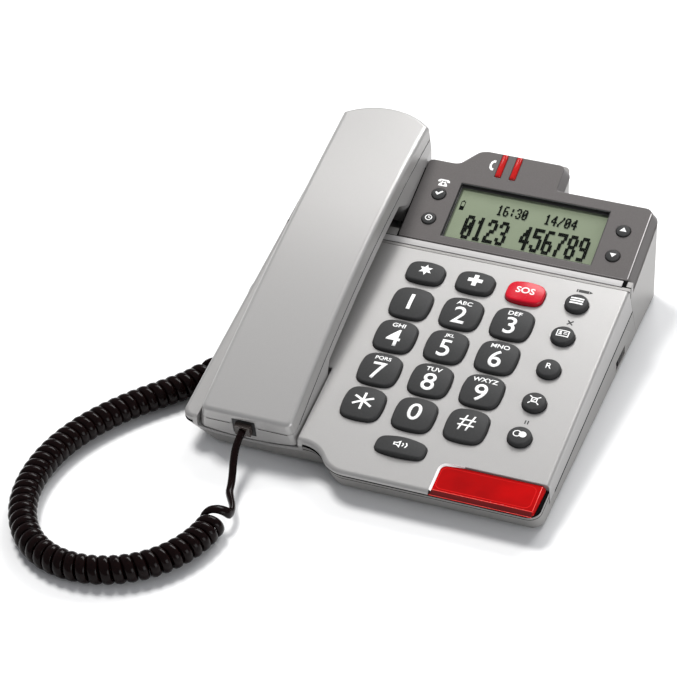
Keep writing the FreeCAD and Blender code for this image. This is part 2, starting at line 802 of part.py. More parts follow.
def handset_form(amount):
    """The closed form of the handset, moved in by the given amount."""
    # The side view's lower edge: mouth block, sloping shoulder, grip, ear block.
    mouth_low = -mouth_belly_depth + amount
    mouth_end = mouth_block_length - amount
    grip = arch_arc(grip_depth - amount, mouth_end + 13, ear_block_start + amount - 7)
    ear_low = -ear_block_depth + amount
    ear_front = ear_block_start + amount
    before = [(-20, -100), (-20, mouth_low), (mouth_end, mouth_low), (grip[0].y, grip[0].z)]
    after = [(grip[2].y, grip[2].z), (ear_front, grip[2].z - 6), (ear_front, ear_low + 3),
             (ear_front + 3, ear_low), (handset_length + 20, ear_low),
             (handset_length + 20, -100), (-20, -100)]
    edges = []
    for chain in (before, after):
        for first, second in zip(chain, chain[1:]):
            edges.append(Part.LineSegment(Vec(0, *first), Vec(0, *second)).toShape())
    edges.append(Part.Arc(*grip).toShape())
    face = Part.Face(Part.Wire(Part.__sortEdges__(edges)))
    face.translate(Vec(-FAR / 4, 0, 0))
    finger_space = face.extrude(Vec(FAR / 2, 0, 0))
    belly = block_section(handset_low_half + 1, mouth_edge_depth - amount,
                          mouth_belly_depth - amount)
    belly.translate(Vec(0, -30, 0))
    belly = belly.extrude(Vec(0, 100, 0))
    under_belly = box((-FAR / 4, -20, -60), (FAR / 4, grip[0].y, -mouth_edge_depth + amount))
    solid = under_arch(amount).common(handset_plan(amount)).common(handset_section(amount))
    return solid.cut(finger_space).cut(under_belly.cut(belly))


handset_outer_form = handset_form(0)
handset_hollow = handset_form(handset_wall)


def on_corner(middle, edge):
    """The handset's four upright corners."""
    size = edge.BoundBox
    return abs(middle.x) > handset_top_half and size.ZLength > 3.5 and size.YLength < 2


def jack_hole():
    """Room for the cord's socket in the front end of the handset."""
    half_x, half_n = jack_width / 2 + fit, jack_height / 2 + fit
    return box((jack_x - half_x, -1, jack_n - half_n), (jack_x + half_x, jack_length, jack_n + half_n))


def handset_outer_shell():
    shell = handset_outer_form.cut(under_arch(handset_seam))

    def on_top(middle, edge):
        return middle.z > arch_rise(middle.y) - 0.8

    shell = fillet_where(shell, handset_corner_radius, on_corner)
    shell = fillet_where(shell, handset_edge_radius, on_top)
    return moved(shell.cut(handset_hollow).cut(jack_hole()), handset)


def handset_inner_shell():
    shell = handset_outer_form.common(under_arch(handset_seam + fit))
    shell = fillet_where(shell, handset_corner_radius, on_corner)

    def on_ear_face(middle, edge):
        return middle.z < -ear_block_depth + 0.2

    shell = fillet_where(shell, ear_face_radius, on_ear_face)
    shell = shell.cut(handset_hollow).cut(jack_hole())
    # The ear face is slightly dished and pierced by rings of holes.
    dish = Part.makeSphere(dish_radius, Vec(0, earpiece_s, -ear_block_depth - dish_radius + 1.0),
                           Vec(1, 0, 0))
    shell = shell.cut(dish)
    for ring, count in enumerate(ear_holes):
        for index in range(count):
            angle = 2 * math.pi * (index + 0.5 * ring) / count
            x = ring * ear_hole_pitch * math.cos(angle)
            y = earpiece_s + ring * ear_hole_pitch * math.sin(angle)
            shell = shell.cut(cylinder(ear_hole_radius, -ear_block_depth - 1,
                                       -ear_block_depth + handset_wall + 1, x, y))
    for index in (-1, 0, 1):
        x = index * mic_slot_pitch
        shell = shell.cut(box((x - 0.7, mic_s - 3, -20), (x + 0.7, mic_s + 3, -mouth_edge_depth)))
    return moved(shell, handset)


nodes["handset_outer_shell"] = handset_outer_shell()
nodes["handset_inner_shell"] = handset_inner_shell()


# ------------------------------------------------------------------ alarm lamp
def lamp_lens():
    """A hollow translucent cover that takes the place of the deck's front right-hand corner."""
    right = deck_from_right - lamp_side
    crease = deck.multVec(Vec(0, lamp_crease_v, -lamp_sink))
    front_slope = frame_at(0, crease.y, crease.z, lamp_front_slope)
    side_slope = deck.multiply(FreeCAD.Placement(Vec(right - lamp_bevel, 0, -lamp_sink),
                                                 FreeCAD.Rotation(Vec(0, 1, 0), 45)))
    outer = form.common(above(parting, fit))
    outer = outer.common(lamp_room(gap, -FAR / 4, -lamp_sink, right))
    outer = outer.common(below(front_slope)).common(below(side_slope))
    inner = lamp_room(gap + lamp_wall, -FAR / 4, -lamp_sink - lamp_wall, right - lamp_wall)
    return outer.cut(casing_form(lamp_wall).common(inner))


def lamp_leds():
    """The lamp's light source: a narrow board with three diodes."""
    middle_u = (lamp_left_u + deck_from_right) / 2
    rear_v = lamp_rear_v - 3
    board_top = -lamp_board_depth + 1.2
    plate = box((middle_u - lamp_board_half, rear_v - lamp_board_width, -lamp_board_depth),
                (middle_u + lamp_board_half, rear_v, board_top))
    for index in (-1, 0, 1):
        x, y = middle_u + index * led_pitch, rear_v - lamp_board_width / 2
        body = cylinder(led_radius, board_top, board_top + 1.4, x, y)
        tip = Part.makeSphere(led_radius, Vec(x, y, board_top + 1.4))
        plate = plate.fuse(body).fuse(tip)
    return moved(plate, deck)


nodes["alarm_lamp_lens"] = lamp_lens()
nodes["alarm_lamp_leds"] = lamp_leds()


# ------------------------------------------------------------------ display
def display_window():
    low = -window_recess - window_thickness
    return moved(box((window_left_u + fit, window_front_w + fit, low),
                     (window_right_u - fit, window_rear_w - fit, -window_recess)), console)


def lcd_panel():
    top = -window_recess - window_thickness - fit
    return moved(box((window_left_u + fit, window_front_w + fit, top - lcd_thickness),
                     (window_right_u - fit, window_rear_w - fit, top)), console)


def console_board():
    top = -window_recess - window_thickness - lcd_thickness - 2 * fit
    low = (console_left_u + console_board_margin, console_board_front_w,
           top - console_board_thickness)
    high = (console_right_u - console_board_margin, console_board_rear_w, top)
    return moved(box(low, high), console)


def console_button(u, w):
    low = -wall - gap - 0.8
    radius = console_button_diameter / 2
    cap = turned_cap(radius, console_button_rise, console_button_edge, low)
    rim = cylinder(radius + console_button_rim, low, -wall - gap)
    cap = cap.fuse(rim)
    cap.translate(Vec(u, w, 0))
    return moved(cap, console)


def light_bar(u, grow):
    """A strip that runs back over the hump and down its rear face."""
    half = light_bar_width / 2 + grow
    over = box((u - half, light_bar_front_w - grow, -1.2 - grow),
               (u + half, hump_rear_w, light_bar_rise))
    down = box((u - half, hump_rear_w - 1.2 - grow, -4.4 - grow),
               (u + half, hump_rear_w + console_draft, -light_bar_rise))
    return moved(over.fuse(down), console)


nodes["display_window"] = display_window()
nodes["lcd_panel"] = lcd_panel()
nodes["console_board"] = console_board()
for name, (u, w) in console_buttons.items():
    nodes[name] = console_button(u, w)
for name, u in light_bars.items():
    nodes[name] = light_bar(u, 0)
    nodes["console_cover"] = nodes["console_cover"].cut(light_bar(u, fit))


# ------------------------------------------------------------------ keypad mat and boards
def keypad_outline(grow):
    """The mat's plan: a rectangle with a tongue under the pill-shaped key."""
    left, right = mat_left_u - grow, mat_right_u + grow
    low, high = mat_low_v - grow, mat_high_v + grow
    tongue_left = pill_key_u - mat_tongue_half - grow
    tongue_right = pill_key_u + mat_tongue_half + grow
    tip = mat_tongue_v - grow
    return rounded_outline([
        (right, low, 3), (right, high, 3), (left, high, 3), (left, low, 3), (tongue_left, low, 2),
        (tongue_left, tip, 3), (tongue_right, tip, 3), (tongue_right, low, 2)])


stem_foot = -wall - gap - flange_thickness - stem_length
pad_top = stem_foot - key_travel - gap
mat_top = pad_top - mat_dome_height


def keypad_mat():
    """The rubber mat: a sheet with a dome under each key's stem."""
    mat = prism(keypad_outline(0), mat_top - mat_thickness, mat_top)
    for u, v, outline in keys.values():
        mat = mat.fuse(Part.makeCone(mat_dome_foot, mat_dome_top, mat_dome_height,
                                     Vec(u, v, mat_top)))
    return moved(mat, deck)


def main_board():
    top = mat_top - mat_thickness - 0.1
    return moved(prism(keypad_outline(0.5), top - board_thickness, top), deck)


nodes["keypad_mat"] = keypad_mat()
nodes["main_board"] = main_board()


# ------------------------------------------------------------------ small parts of the base
def battery_cells():
    cells = []
    for index in range(cell_count):
        x = bay_left + cell_pitch * (index + 0.5)
        z = foot_height + wall + cell_radius + fit
        start = (bay_front + bay_rear - cell_length) / 2
        can = Part.makeCylinder(cell_radius, cell_length - 1, Vec(x, start, z), Vec(0, 1, 0))
        tip = Part.makeCylinder(1.9, 1, Vec(x, start + cell_length - 1, z), Vec(0, 1, 0))
        cells.append(can.fuse(tip).removeSplitter())
    return Part.makeCompound(cells)


def battery_door():
    low = foot_height
    door = box((bay_left - door_lip + gap, bay_front - door_lip + gap, low),
               (bay_right + door_lip - gap, bay_rear + door_lip - gap, low + door_thickness))
    for index in range(4):
        y = bay_front + 4 + index * 2.4
        middle = (bay_left + bay_right) / 2
        door = door.cut(box((middle - 9, y, low - 1), (middle + 9, y + 1.2, low + 0.5)))
    return door


def rubber_feet():
    feet = [cylinder(foot_radius, 0, foot_height + foot_seat, x, y) for x, y in foot_places]
    feet = [fillet_where(foot, 0.6, lambda middle, edge: middle.z < 0.01 and edge.Closed
                         and edge.BoundBox.ZLength < 0.01) for foot in feet]
    return Part.makeCompound(feet)


def casing_screws():
    screws = []
    for x, y in front_screws + rear_screws:
        low = foot_height + screw_head_sink
        head = cylinder(screw_head_radius, low, low + screw_head_height, x, y)
        shank = cylinder(screw_radius, low, low + screw_length, x, y)
        screw = head.fuse(shank)
        for turn in (0, 90):
            slot = box((x - 1.6, y - 0.3, low - 1), (x + 1.6, y + 0.3, low + 0.8))
            slot.rotate(Vec(x, y, 0), Vec(0, 0, 1), turn)
            screw = screw.cut(slot)
        screws.append(screw)
    return Part.makeCompound(screws)


def loudspeaker():
    """Frame, cone and magnet as one turned piece, face down over the floor slots."""
    low = foot_height + wall
    profile = [Vec(0, 0, low + 5), Vec(speaker_radius - 4, 0, low + 1.5),
               Vec(speaker_radius - 2.5, 0, low), Vec(speaker_radius, 0, low),
               Vec(speaker_radius, 0, low + 2), Vec(9, 0, low + 7), Vec(9, 0, low + speaker_depth),
               Vec(0, 0, low + speaker_depth)]
    face = Part.Face(Part.makePolygon(profile + profile[:1]))
    speaker = face.revolve(Vec(0, 0, 0), Vec(0, 0, 1), 360)
    speaker.translate(Vec(speaker_x, speaker_y, 0))
    return speaker


def line_socket():
    left, right = line_socket_x - line_width / 2, line_socket_x + line_width / 2
    low, high = line_socket_z - line_height / 2, line_socket_z + line_height / 2
    body = box((left, hump_rear_y - line_length, low), (right, hump_rear_y, high))
    half_x, half_z = line_opening_width / 2, line_opening_height / 2
    mouth = box((line_socket_x - half_x, hump_rear_y - line_opening_depth, line_socket_z - half_z),
                (line_socket_x + half_x, hump_rear_y + 1, line_socket_z + half_z))
    latch = box((line_socket_x - 2, hump_rear_y - 4, line_socket_z - half_z - 1.6),
                (line_socket_x + 2, hump_rear_y + 1, line_socket_z))
    return body.cut(mouth).cut(latch)


def cord_socket(shape_frame):
    """Socket body for the coiled cord, its mouth at the frame's origin, facing -Y."""
    body = box((-jack_width / 2, 0, -jack_height / 2), (jack_width / 2, jack_length - fit, jack_height / 2))
    half_x, half_z = plug_width / 2 + fit, plug_height / 2 + fit
    mouth = box((-half_x, -1, -half_z), (half_x, plug_length - plug_stand + fit, half_z))
    latch = box((-1.4, -1, -half_z - 1.1), (1.4, 5, 0))
    return moved(body.cut(mouth).cut(latch), shape_frame)


def cord_plug(shape_frame):
    """Small modular plug: body, sprung latch and eight contact slots in its nose."""
    half_x, half_z = plug_width / 2, plug_height / 2
    body = box((-half_x, -plug_stand, -half_z), (half_x, plug_length - plug_stand, half_z))
    for index in range(4):
        x = (index - 1.5) * 1.27
        body = body.cut(box((x - 0.3, plug_length - plug_stand - 2.5, half_z - 1.2),
                            (x + 0.3, plug_length, half_z + 1)))
    latch = box((-1.1, -plug_stand, -half_z - 0.8), (1.1, 4.6, -half_z))
    return moved(body.fuse(latch).removeSplitter(), shape_frame)


def hook_plunger():
    """The plunger that the resting handset holds down."""
    top = -ear_block_depth - gap
    shape = box((-hook_half_x, hook_s - hook_half_s, top - hook_length),
                (hook_half_x, hook_s + hook_half_s, top))
    stop = box((-hook_half_x - 1, hook_s - hook_half_s - 1, top - hook_length),
               (hook_half_x + 1, hook_s + hook_half_s + 1, top - hook_length + 1.5))
    crown = [edge for edge in shape.Edges if edge.BoundBox.ZMin > top - 0.01
             and edge.BoundBox.XLength > 1]
    return moved(shape.makeFillet(0.7, crown).fuse(stop), handset)


def ringer_switch():
    face = right_x - 0.1
    knob = box((right_x - switch_recess + fit, switch_y - switch_knob_half,
                switch_z - switch_knob_height / 2),
               (face, switch_y + switch_knob_half, switch_z + switch_knob_height / 2))
    for index in range(5):
        y = switch_y + (index - 2) * 1.3
        knob = knob.cut(box((face - 0.4, y - 0.3, -FAR), (face + 1, y + 0.3, FAR)))
    stem = box((right_x - wall - 0.6, switch_y - switch_stem_half, switch_z - switch_stem_height / 2),
               (face - 0.6, switch_y + switch_stem_half, switch_z + switch_stem_height / 2))
    slider = box((right_x - wall - 2.4, switch_y - 4, switch_z - 1.6),
                 (right_x - wall - 0.4, switch_y + 4, switch_z + 1.6))
    return knob.fuse(stem).fuse(slider)


jack_frame = handset.multiply(FreeCAD.Placement(Vec(jack_x, 0, jack_n), FreeCAD.Rotation()))
base_socket_frame = FreeCAD.Placement(Vec(base_socket_x, base_socket_y, base_socket_z),
                                      FreeCAD.Rotation(Vec(0, 0, 1), -90))
nodes["battery_cells"] = battery_cells()
nodes["battery_door"] = battery_door()
nodes["rubber_feet"] = rubber_feet()
nodes["casing_screws"] = casing_screws()
nodes["loudspeaker"] = loudspeaker()
nodes["line_socket"] = line_socket()
nodes["base_cord_socket"] = cord_socket(base_socket_frame)
nodes["handset_cord_socket"] = cord_socket(jack_frame)
nodes["hook_plunger"] = hook_plunger()
nodes["ringer_switch"] = ringer_switch()


# ------------------------------------------------------------------ inside the handset
def earpiece_speaker():
    low = -ear_block_depth + handset_wall + 0.8
    disc = cylinder(earpiece_radius, low, low + 3.2, 0, earpiece_s)
    magnet = cylinder(7, low + 3.2, low + 7, 0, earpiece_s)
    return moved(disc.fuse(magnet), handset)


def microphone():
    low = -mouth_belly_depth + handset_wall + 0.4
    return moved(cylinder(4.8, low, low + 3.6, 0, mic_s + 5), handset)


nodes["earpiece_speaker"] = earpiece_speaker()
nodes["microphone"] = microphone()


# ------------------------------------------------------------------ coiled cord
coil_z = coil_diameter / 2
handset_lead_start = jack_frame.multVec(Vec(0, -plug_stand, 0))
handset_lead_next = jack_frame.multVec(Vec(0, -plug_stand - plug_run, 0))
base_lead_end = base_socket_frame.multVec(Vec(0, -plug_stand, 0))
handset_lead_points = [
    tuple(handset_lead_start), tuple(handset_lead_next),
    (-55.2 * across, -111.0, 11.8), (-52.8 * across, -118.6, 8.4), (-51.0 * across, -126.4, 6.5),
    (-50.4 * across, -134.0, coil_z), (-50.4 * across, -141.0, coil_z)]
coil_points = [
    (-50.4, -141.0), (-50.4, -153.0), (-55.0, -168.0), (-65.0, -182.0), (-79.0, -191.4),
    (-94.0, -195.4), (-109.0, -193.8), (-122.0, -186.6), (-132.0, -174.4), (-138.2, -159.0),
    (-140.2, -143.0), (-138.8, -126.4), (-134.2, -110.6), (-126.6, -95.6), (-117.0, -81.6),
    (-106.4, -69.4), (-97.0, -58.2), (-91.9, -46.0)]
base_lead_route = [
    (-91.9, -46.0, coil_z), (-89.2, -39.54, coil_z), (-88.5, -31.0, coil_z),
    (-89.1, -21.6, 6.8), (-90.8, -12.2, 7.2), (-93.0, -3.4, 7.6), (-95.0, 5.2, 8.2),
    (-96.3, 13.2, 8.8), (-96.36, 20.98, 9.2), (-93.11, 26.72, 9.4),
    (-87.5, base_socket_y, base_socket_z)]
base_lead_points = [(x * across, y, z) for x, y, z in base_lead_route] + [tuple(base_lead_end)]


def tube(points, radius, name):
    """Straight runs joined by tangent arcs, each as large as its two runs allow."""
    spots = [Vec(*point) for point in points]
    start = spots[0]
    edges = []
    radii = []
    length = 0.0
    for before, here, after in zip(spots, spots[1:], spots[2:]):
        back, ahead = before - here, after - here
        turn = math.pi - back.getAngle(ahead)
        shorter = min(back.Length, ahead.Length)
        reach = 0.45 * shorter
        bend = reach / math.tan(turn / 2)
        radii.append(bend)
        back.normalize()
        ahead.normalize()
        entry, leave = here + back * reach, here + ahead * reach
        bisector = (back + ahead).normalize()
        knuckle = here + bisector * (bend / math.cos(turn / 2) - bend)
        edges.append(Part.LineSegment(start, entry).toShape())
        edges.append(Part.Arc(entry, knuckle, leave).toShape())
        length += (entry - start).Length + bend * turn
        start = leave
    edges.append(Part.LineSegment(start, spots[-1]).toShape())
    length += (spots[-1] - start).Length
    path = Part.Wire(edges)
    heading = (spots[1] - spots[0]).normalize()
    ring = Part.Wire(Part.makeCircle(radius, spots[0], heading))
    solid = path.makePipeShell([ring], True, False)
    print(name, "length %.1f" % length, "smallest radius %.1f" % min(radii),
          "radii", [round(value, 1) for value in radii],
          "volume ratio %.4f" % (solid.Volume / (math.pi * radius ** 2 * length)))
    return solid


nodes["cord_plug_handset"] = cord_plug(jack_frame)
nodes["cord_lead_handset"] = tube(handset_lead_points, cord_diameter / 2, "cord_lead_handset")
nodes["cord_coil"] = tube([(x * across, y, coil_z) for x, y in coil_points], coil_z, "cord_coil")
nodes["cord_lead_base"] = tube(base_lead_points, cord_diameter / 2, "cord_lead_base")
nodes["cord_plug_base"] = cord_plug(base_socket_frame)

# ------------------------------------------------------------------ write
for name, shape in nodes.items():
    solids = shape.Solids
    print(name, "solids", len(solids), "volume %.1f" % shape.Volume, "valid", shape.isValid())
    Part.makeCompound(solids).exportStep("parts/" + name + ".step")
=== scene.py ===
# %% [markdown]
# # An emergency telephone, from frame to finish
#
# The casing, the keys and the handset come ready-made from CAD, so they are only painted here.
# Blender adds what a CAD solid doesn't show: the coiled cord, the printing, the display's picture,
# the paint, the plastics and the light.

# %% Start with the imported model
import math

import bpy
from mathutils import Matrix, Vector


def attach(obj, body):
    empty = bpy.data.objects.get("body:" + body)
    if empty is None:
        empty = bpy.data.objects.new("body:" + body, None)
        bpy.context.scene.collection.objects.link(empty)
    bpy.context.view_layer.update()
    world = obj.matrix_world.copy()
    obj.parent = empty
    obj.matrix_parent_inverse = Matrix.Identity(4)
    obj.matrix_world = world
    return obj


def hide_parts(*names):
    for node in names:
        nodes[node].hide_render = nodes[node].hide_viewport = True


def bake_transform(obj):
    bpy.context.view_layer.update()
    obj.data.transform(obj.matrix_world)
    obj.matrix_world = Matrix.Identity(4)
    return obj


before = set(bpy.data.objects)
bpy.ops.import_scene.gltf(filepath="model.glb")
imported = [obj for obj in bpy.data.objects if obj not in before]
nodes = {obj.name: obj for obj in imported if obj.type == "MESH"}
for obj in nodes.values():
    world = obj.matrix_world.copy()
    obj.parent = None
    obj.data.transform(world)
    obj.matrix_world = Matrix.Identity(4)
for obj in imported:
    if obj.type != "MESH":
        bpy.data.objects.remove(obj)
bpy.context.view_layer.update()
mm = 0.001

# %% [markdown]
# ## The three sloping faces
#
# Nearly every detail lies on one of three flat faces: the key deck, the display console and the
# handset's top. Each gets its own axes, with x to the right, y up the slope and z out of the face.
# A piece is then drawn flat and carried to its face by one matrix, which is simpler than working
# out each tilted place by hand.

# %% Axes of the faces
def sloping_face(x, y, z, tilt):
    """Axes of a face that rises to the back at this angle in degrees, placed in millimetres."""
    return Matrix.Translation(Vector((x, y, z)) * mm) @ Matrix.Rotation(math.radians(tilt), 4, "X")


deck_tilt, console_tilt, handset_tilt = 8.5, 16, 12.2
deck_end = 65.2 * mm
deck_face = sloping_face(16.5, -22, 28.7, deck_tilt)
console_start = deck_face @ Vector((0, deck_end, 0)) / mm
console_face = sloping_face(*console_start, console_tilt)
handset_face = sloping_face(-55.2, -95.3, 25.2, handset_tilt)
print("console starts at", [round(value, 1) for value in console_start])

# %% [markdown]
# ## Camera
#
# A long lens stands well back, so that the telephone's edges stay nearly parallel, as they do in a
# catalogue picture. Its place and turn are set directly, because a tracking constraint could not
# give the slight roll.

# %% The camera
bpy.ops.object.camera_add(location=(0.37631, -1.06095, 0.89398),
                          rotation=[math.radians(angle) for angle in (52.008, 1.411, 20.606)])
camera = bpy.context.object
camera.data.lens = 159.53
camera.data.sensor_width = 36
camera.data.clip_start = 0.05
bpy.context.scene.camera = camera
print("camera", [round(value, 3) for value in camera.location])

# %% [markdown]
# ## Floor
#
# The table is a plain pale sheet that reaches past the picture on every side. A curved backdrop
# would hide the horizon as well, but the camera looks down and never sees one.

# %% The floor
bpy.ops.mesh.primitive_grid_add(x_subdivisions=8, y_subdivisions=8, size=6, location=(0, 0, 0))
floor = bpy.context.object
floor.name = "table_top"
print("floor:", floor.name)

# %% [markdown]
# ## Light
#
# The main lamp stands high on the left and gives the soft shadow to the right. Silver paint would
# mirror it as a hot spot, so it is hidden from reflections. What the paint may mirror is a broad
# lamp behind the telephone and a weak one that draws a sheen up the handset. A fourth lamp fills
# the right-hand side. One large lamp would be simpler, but the paint would look flat under it.

# %% The lights
def soft_lamp(name, place, aim, width, height, power, colour):
    """A rectangular lamp that faces a point."""
    bpy.ops.object.light_add(type="AREA", location=place)
    lamp = bpy.context.object
    lamp.name = name
    lamp.data.shape = "RECTANGLE"
    lamp.data.size = width
    lamp.data.size_y = height
    lamp.data.energy = power
    lamp.data.color = colour
    lamp.rotation_euler = (Vector(aim) - Vector(place)).to_track_quat("-Z", "Y").to_euler()
    return lamp


warm_white = (1, 0.995, 0.985)
lamp_left = soft_lamp("lamp_left", (-0.6, 0.35, 1.45), (0, 0, 0), 0.5, 0.5, 23.5, warm_white)
lamp_left.visible_glossy = False
soft_lamp("lamp_behind", (0.12, 1.0, 0.98), (0, 0, 0.03), 0.9, 0.5, 13, (1, 1, 1))
soft_lamp("lamp_right", (1.25, -0.5, 0.36), (0, 0, 0.03), 0.9, 0.6, 7, (0.98, 0.99, 1))
soft_lamp("lamp_sheen", (-0.33, 0.56, 0.87), (-0.05, 0.05, 0.05), 0.16, 0.16, 0.38, warm_white)
world = bpy.data.worlds.new("studio")
bpy.context.scene.world = world
world.use_nodes = True
background = world.node_tree.nodes["Background"]
background.inputs["Color"].default_value = (0.93, 0.95, 1, 1)
background.inputs["Strength"].default_value = 0.34
bpy.context.scene.view_settings.view_transform = "Standard"

# %% [markdown]
# ## The coiled cord
#
# The handset's cord is one flat strand. It leaves the handset as a plain lead, winds into a coil
# that lies in a wide loop on the table, and runs behind the base as a plain lead to its socket.
# A curve with a round bevel could only give a round strand, so the strand is built as a tube whose
# section is an oval that always lies flat against the coil.
#
# The route comes first. It is a smooth NURBS curve through the middle of the coil.

# %% The cord's route
handset_lead = [(-56.7, -96.053, 16.852), (-56.7, -103.481, 15.246), (-55.2, -111, 11.8),
                (-52.8, -118.6, 8.4), (-51, -126.4, 6.7), (-50.4, -134, 6.6)]
coil = [(-50.4, -141), (-50.4, -153), (-55, -168), (-65, -182), (-79, -191.4), (-94, -195.4),
        (-109, -193.8), (-122, -186.6), (-132, -174.4), (-138.2, -159), (-140.2, -143),
        (-138.8, -126.4), (-134.2, -110.6), (-126.6, -95.6), (-117, -81.6), (-106.4, -69.4),
        (-97, -58.2), (-91.9, -46)]
base_lead = [(-89.2, -39.54, 6.6), (-88.5, -31, 6.6), (-89.1, -21.6, 6.8), (-90.8, -12.2, 7.2),
             (-93, -3.4, 7.6), (-95, 5.2, 8.2), (-96.3, 13.2, 8.8), (-96.36, 20.98, 9.2),
             (-93.11, 26.72, 9.4), (-87.5, 30, 9.4), (-81, 30, 9.4)]
lying_height = 6.6
cord_points = handset_lead + [(x, y, lying_height) for x, y in coil] + base_lead


def smooth_line(points):
    """The points of a smooth curve that follows a route given in millimetres."""
    curve = bpy.data.curves.new("cord_route", "CURVE")
    curve.dimensions = "3D"
    curve.resolution_u = 24
    spline = curve.splines.new("NURBS")
    spline.points.add(len(points) - 1)
    for point, place in zip(spline.points, points):
        point.co = (*[value * mm for value in place], 1)
    spline.order_u = 3
    spline.use_endpoint_u = True
    holder = bpy.data.objects.new("cord_route", curve)
    line = bpy.data.meshes.new_from_object(holder)
    found = [vertex.co.copy() for vertex in line.vertices]
    bpy.data.meshes.remove(line)
    bpy.data.curves.remove(curve)
    return found


route = smooth_line(cord_points)
route_length = [0.0]
for here, there in zip(route, route[1:]):
    route_length.append(route_length[-1] + (there - here).length)
print("route", len(route), "points,", round(route_length[-1], 4), "m")

# %% [markdown]
# The strand winds round that route, so each of its places is found from a length along the route.
# The curve's own parameter would be at hand, but it runs faster where the points stand far apart,
# and the turns would come out uneven.

# %% Measure along the route
coil_radius = 5.2 * mm
coil_pitch = 4.98 * mm
steps_in_turn = 26
strand_round = 1.8 * mm
strand_wide = 2.48 * mm
strand_thin = 1.45 * mm


def nearest_length(place):
    """How far along the route the point nearest to this place is."""
    place = Vector(place) * mm
    return route_length[min(range(len(route)), key=lambda i: (route[i] - place).length)]


def place_at(length):
    """The route's place at this length along it."""
    length = max(0.0, min(route_length[-1], length))
    low, high = 0, len(route_length) - 1
    while high - low > 1:
        middle = (low + high) // 2
        low, high = (middle, high) if route_length[middle] <= length else (low, middle)
    share = (length - route_length[low]) / (route_length[high] - route_length[low])
    return route[low].lerp(route[high], share)


def eased(value):
    """A smooth step from 0 to 1."""
    value = max(0.0, min(1.0, value))
    return value * value * (3 - 2 * value)


coil_from = nearest_length((-50.4, -139, lying_height))
coil_to = nearest_length((-91.9, -46, lying_height))
coil_length = coil_to - coil_from
print("coil from", round(coil_from, 4), "to", round(coil_to, 4), "m along the route")

# %% [markdown]
# A real lead doesn't start winding on the coil's axis. It first moves out to the side of the coil,
# and then begins to turn, slowly at first. So the distance from the route grows before the first
# turn, and the turning speeds up over the first rings. A plain helix would be shorter to write, but
# it would kink where the lead meets it. This way every bend stays wide enough for a flat cord.

# %% Wind the strand
move_out = 14 * mm
sight = 1.5 * mm
lead_step = 0.8 * mm
first_ramp, last_ramp = 2.6 * coil_pitch, 1.8 * coil_pitch
wound_length = coil_length - first_ramp / 2 - last_ramp / 2
turns = round(wound_length / coil_pitch)


def turned_share(inside):
    """The share of all turns that is wound at this distance into the coil."""
    if inside < first_ramp:
        wound = inside ** 2 / (2 * first_ramp)
    elif inside > coil_length - last_ramp:
        wound = wound_length - (coil_length - inside) ** 2 / (2 * last_ramp)
    else:
        wound = inside - first_ramp / 2
    return wound / wound_length


def strand_centre(length):
    """The strand's centre, the direction out of the coil there, and how far it is out, 0 to 1."""
    along = (place_at(length + sight) - place_at(length - sight)).normalized()
    side = along.cross(Vector((0, 0, 1))).normalized()
    up = side.cross(along)
    out = min(eased((length - coil_from) / move_out + 1), eased((coil_to - length) / move_out + 1))
    inside = min(max(length - coil_from, 0), coil_length)
    turn = 2 * math.pi * turns * turned_share(inside) - math.pi / 2
    outward = up * math.cos(turn) + side * math.sin(turn)
    return place_at(length) + outward * coil_radius * out, outward, out


lengths = []
position = 0.0
while position < route_length[-1]:
    lengths.append(position)
    in_coil = coil_from < position < coil_to
    position += coil_pitch / steps_in_turn if in_coil else lead_step
lengths.append(route_length[-1])
strand = [strand_centre(length) for length in lengths]
strand_path = [centre for centre, outward, wound in strand]

# %% [markdown]
# The leads are round and the coil's strand is an oval lying flat. Rings of points are set round the
# strand's centre line and joined by faces, because a bevelled curve has one section from end to end
# and can't go from the one form to the other.

# %% Skin the strand
section_sides = 10
ring_points = []
for number, (centre, outward, wound) in enumerate(strand):
    before, after = strand_path[max(number - 1, 0)], strand_path[min(number + 1, len(strand) - 1)]
    along = (after - before).normalized()
    across = along.cross(outward).normalized()
    outward = across.cross(along)
    wide = strand_round + (strand_wide - strand_round) * wound
    thin = strand_round + (strand_thin - strand_round) * wound
    for side in range(section_sides):
        angle = 2 * math.pi * side / section_sides
        ring_points.append(centre + outward * thin * math.cos(angle)
                           + across * wide * math.sin(angle))
faces = []
for ring in range(len(strand) - 1):
    for side in range(section_sides):
        next_side = (side + 1) % section_sides
        here, there = ring * section_sides, (ring + 1) * section_sides
        faces.append((here + side, here + next_side, there + next_side, there + side))
faces.append(tuple(reversed(range(section_sides))))
faces.append(tuple(range(len(ring_points) - section_sides, len(ring_points))))
cord_mesh = bpy.data.meshes.new("handset_cord")
cord_mesh.from_pydata(ring_points, [], faces)
cord = bpy.data.objects.new("handset_cord", cord_mesh)
bpy.context.scene.collection.objects.link(cord)
print("cord faces:", len(faces))

# %% [markdown]
# On the real telephone the cord lies on the table with the base, and its lead goes up with
# the handset. Here the strand is only shaded smooth, the CAD's plain pieces of the cord are hidden
# in its favour, and its place is baked into its mesh; it is given to neither body.

# %% Smooth the cord and hide the CAD's cord pieces
for polygon in cord_mesh.polygons:
    polygon.use_smooth = True
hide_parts("cord_lead_handset", "cord_coil", "cord_lead_base")
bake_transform(cord)

# %% [markdown]
# ## Finishes
#
# Every finish starts from one recipe: the colour, the roughness and a slight bump each follow a
# noise pattern of the grain that the real surface has. Painting with one flat colour would be
# quicker, but no moulded or sprayed part is that even. Moulded edges are never knife-sharp either,
# so a Bevel node rounds how they catch the light. A Bevel modifier would change the CAD's mesh.

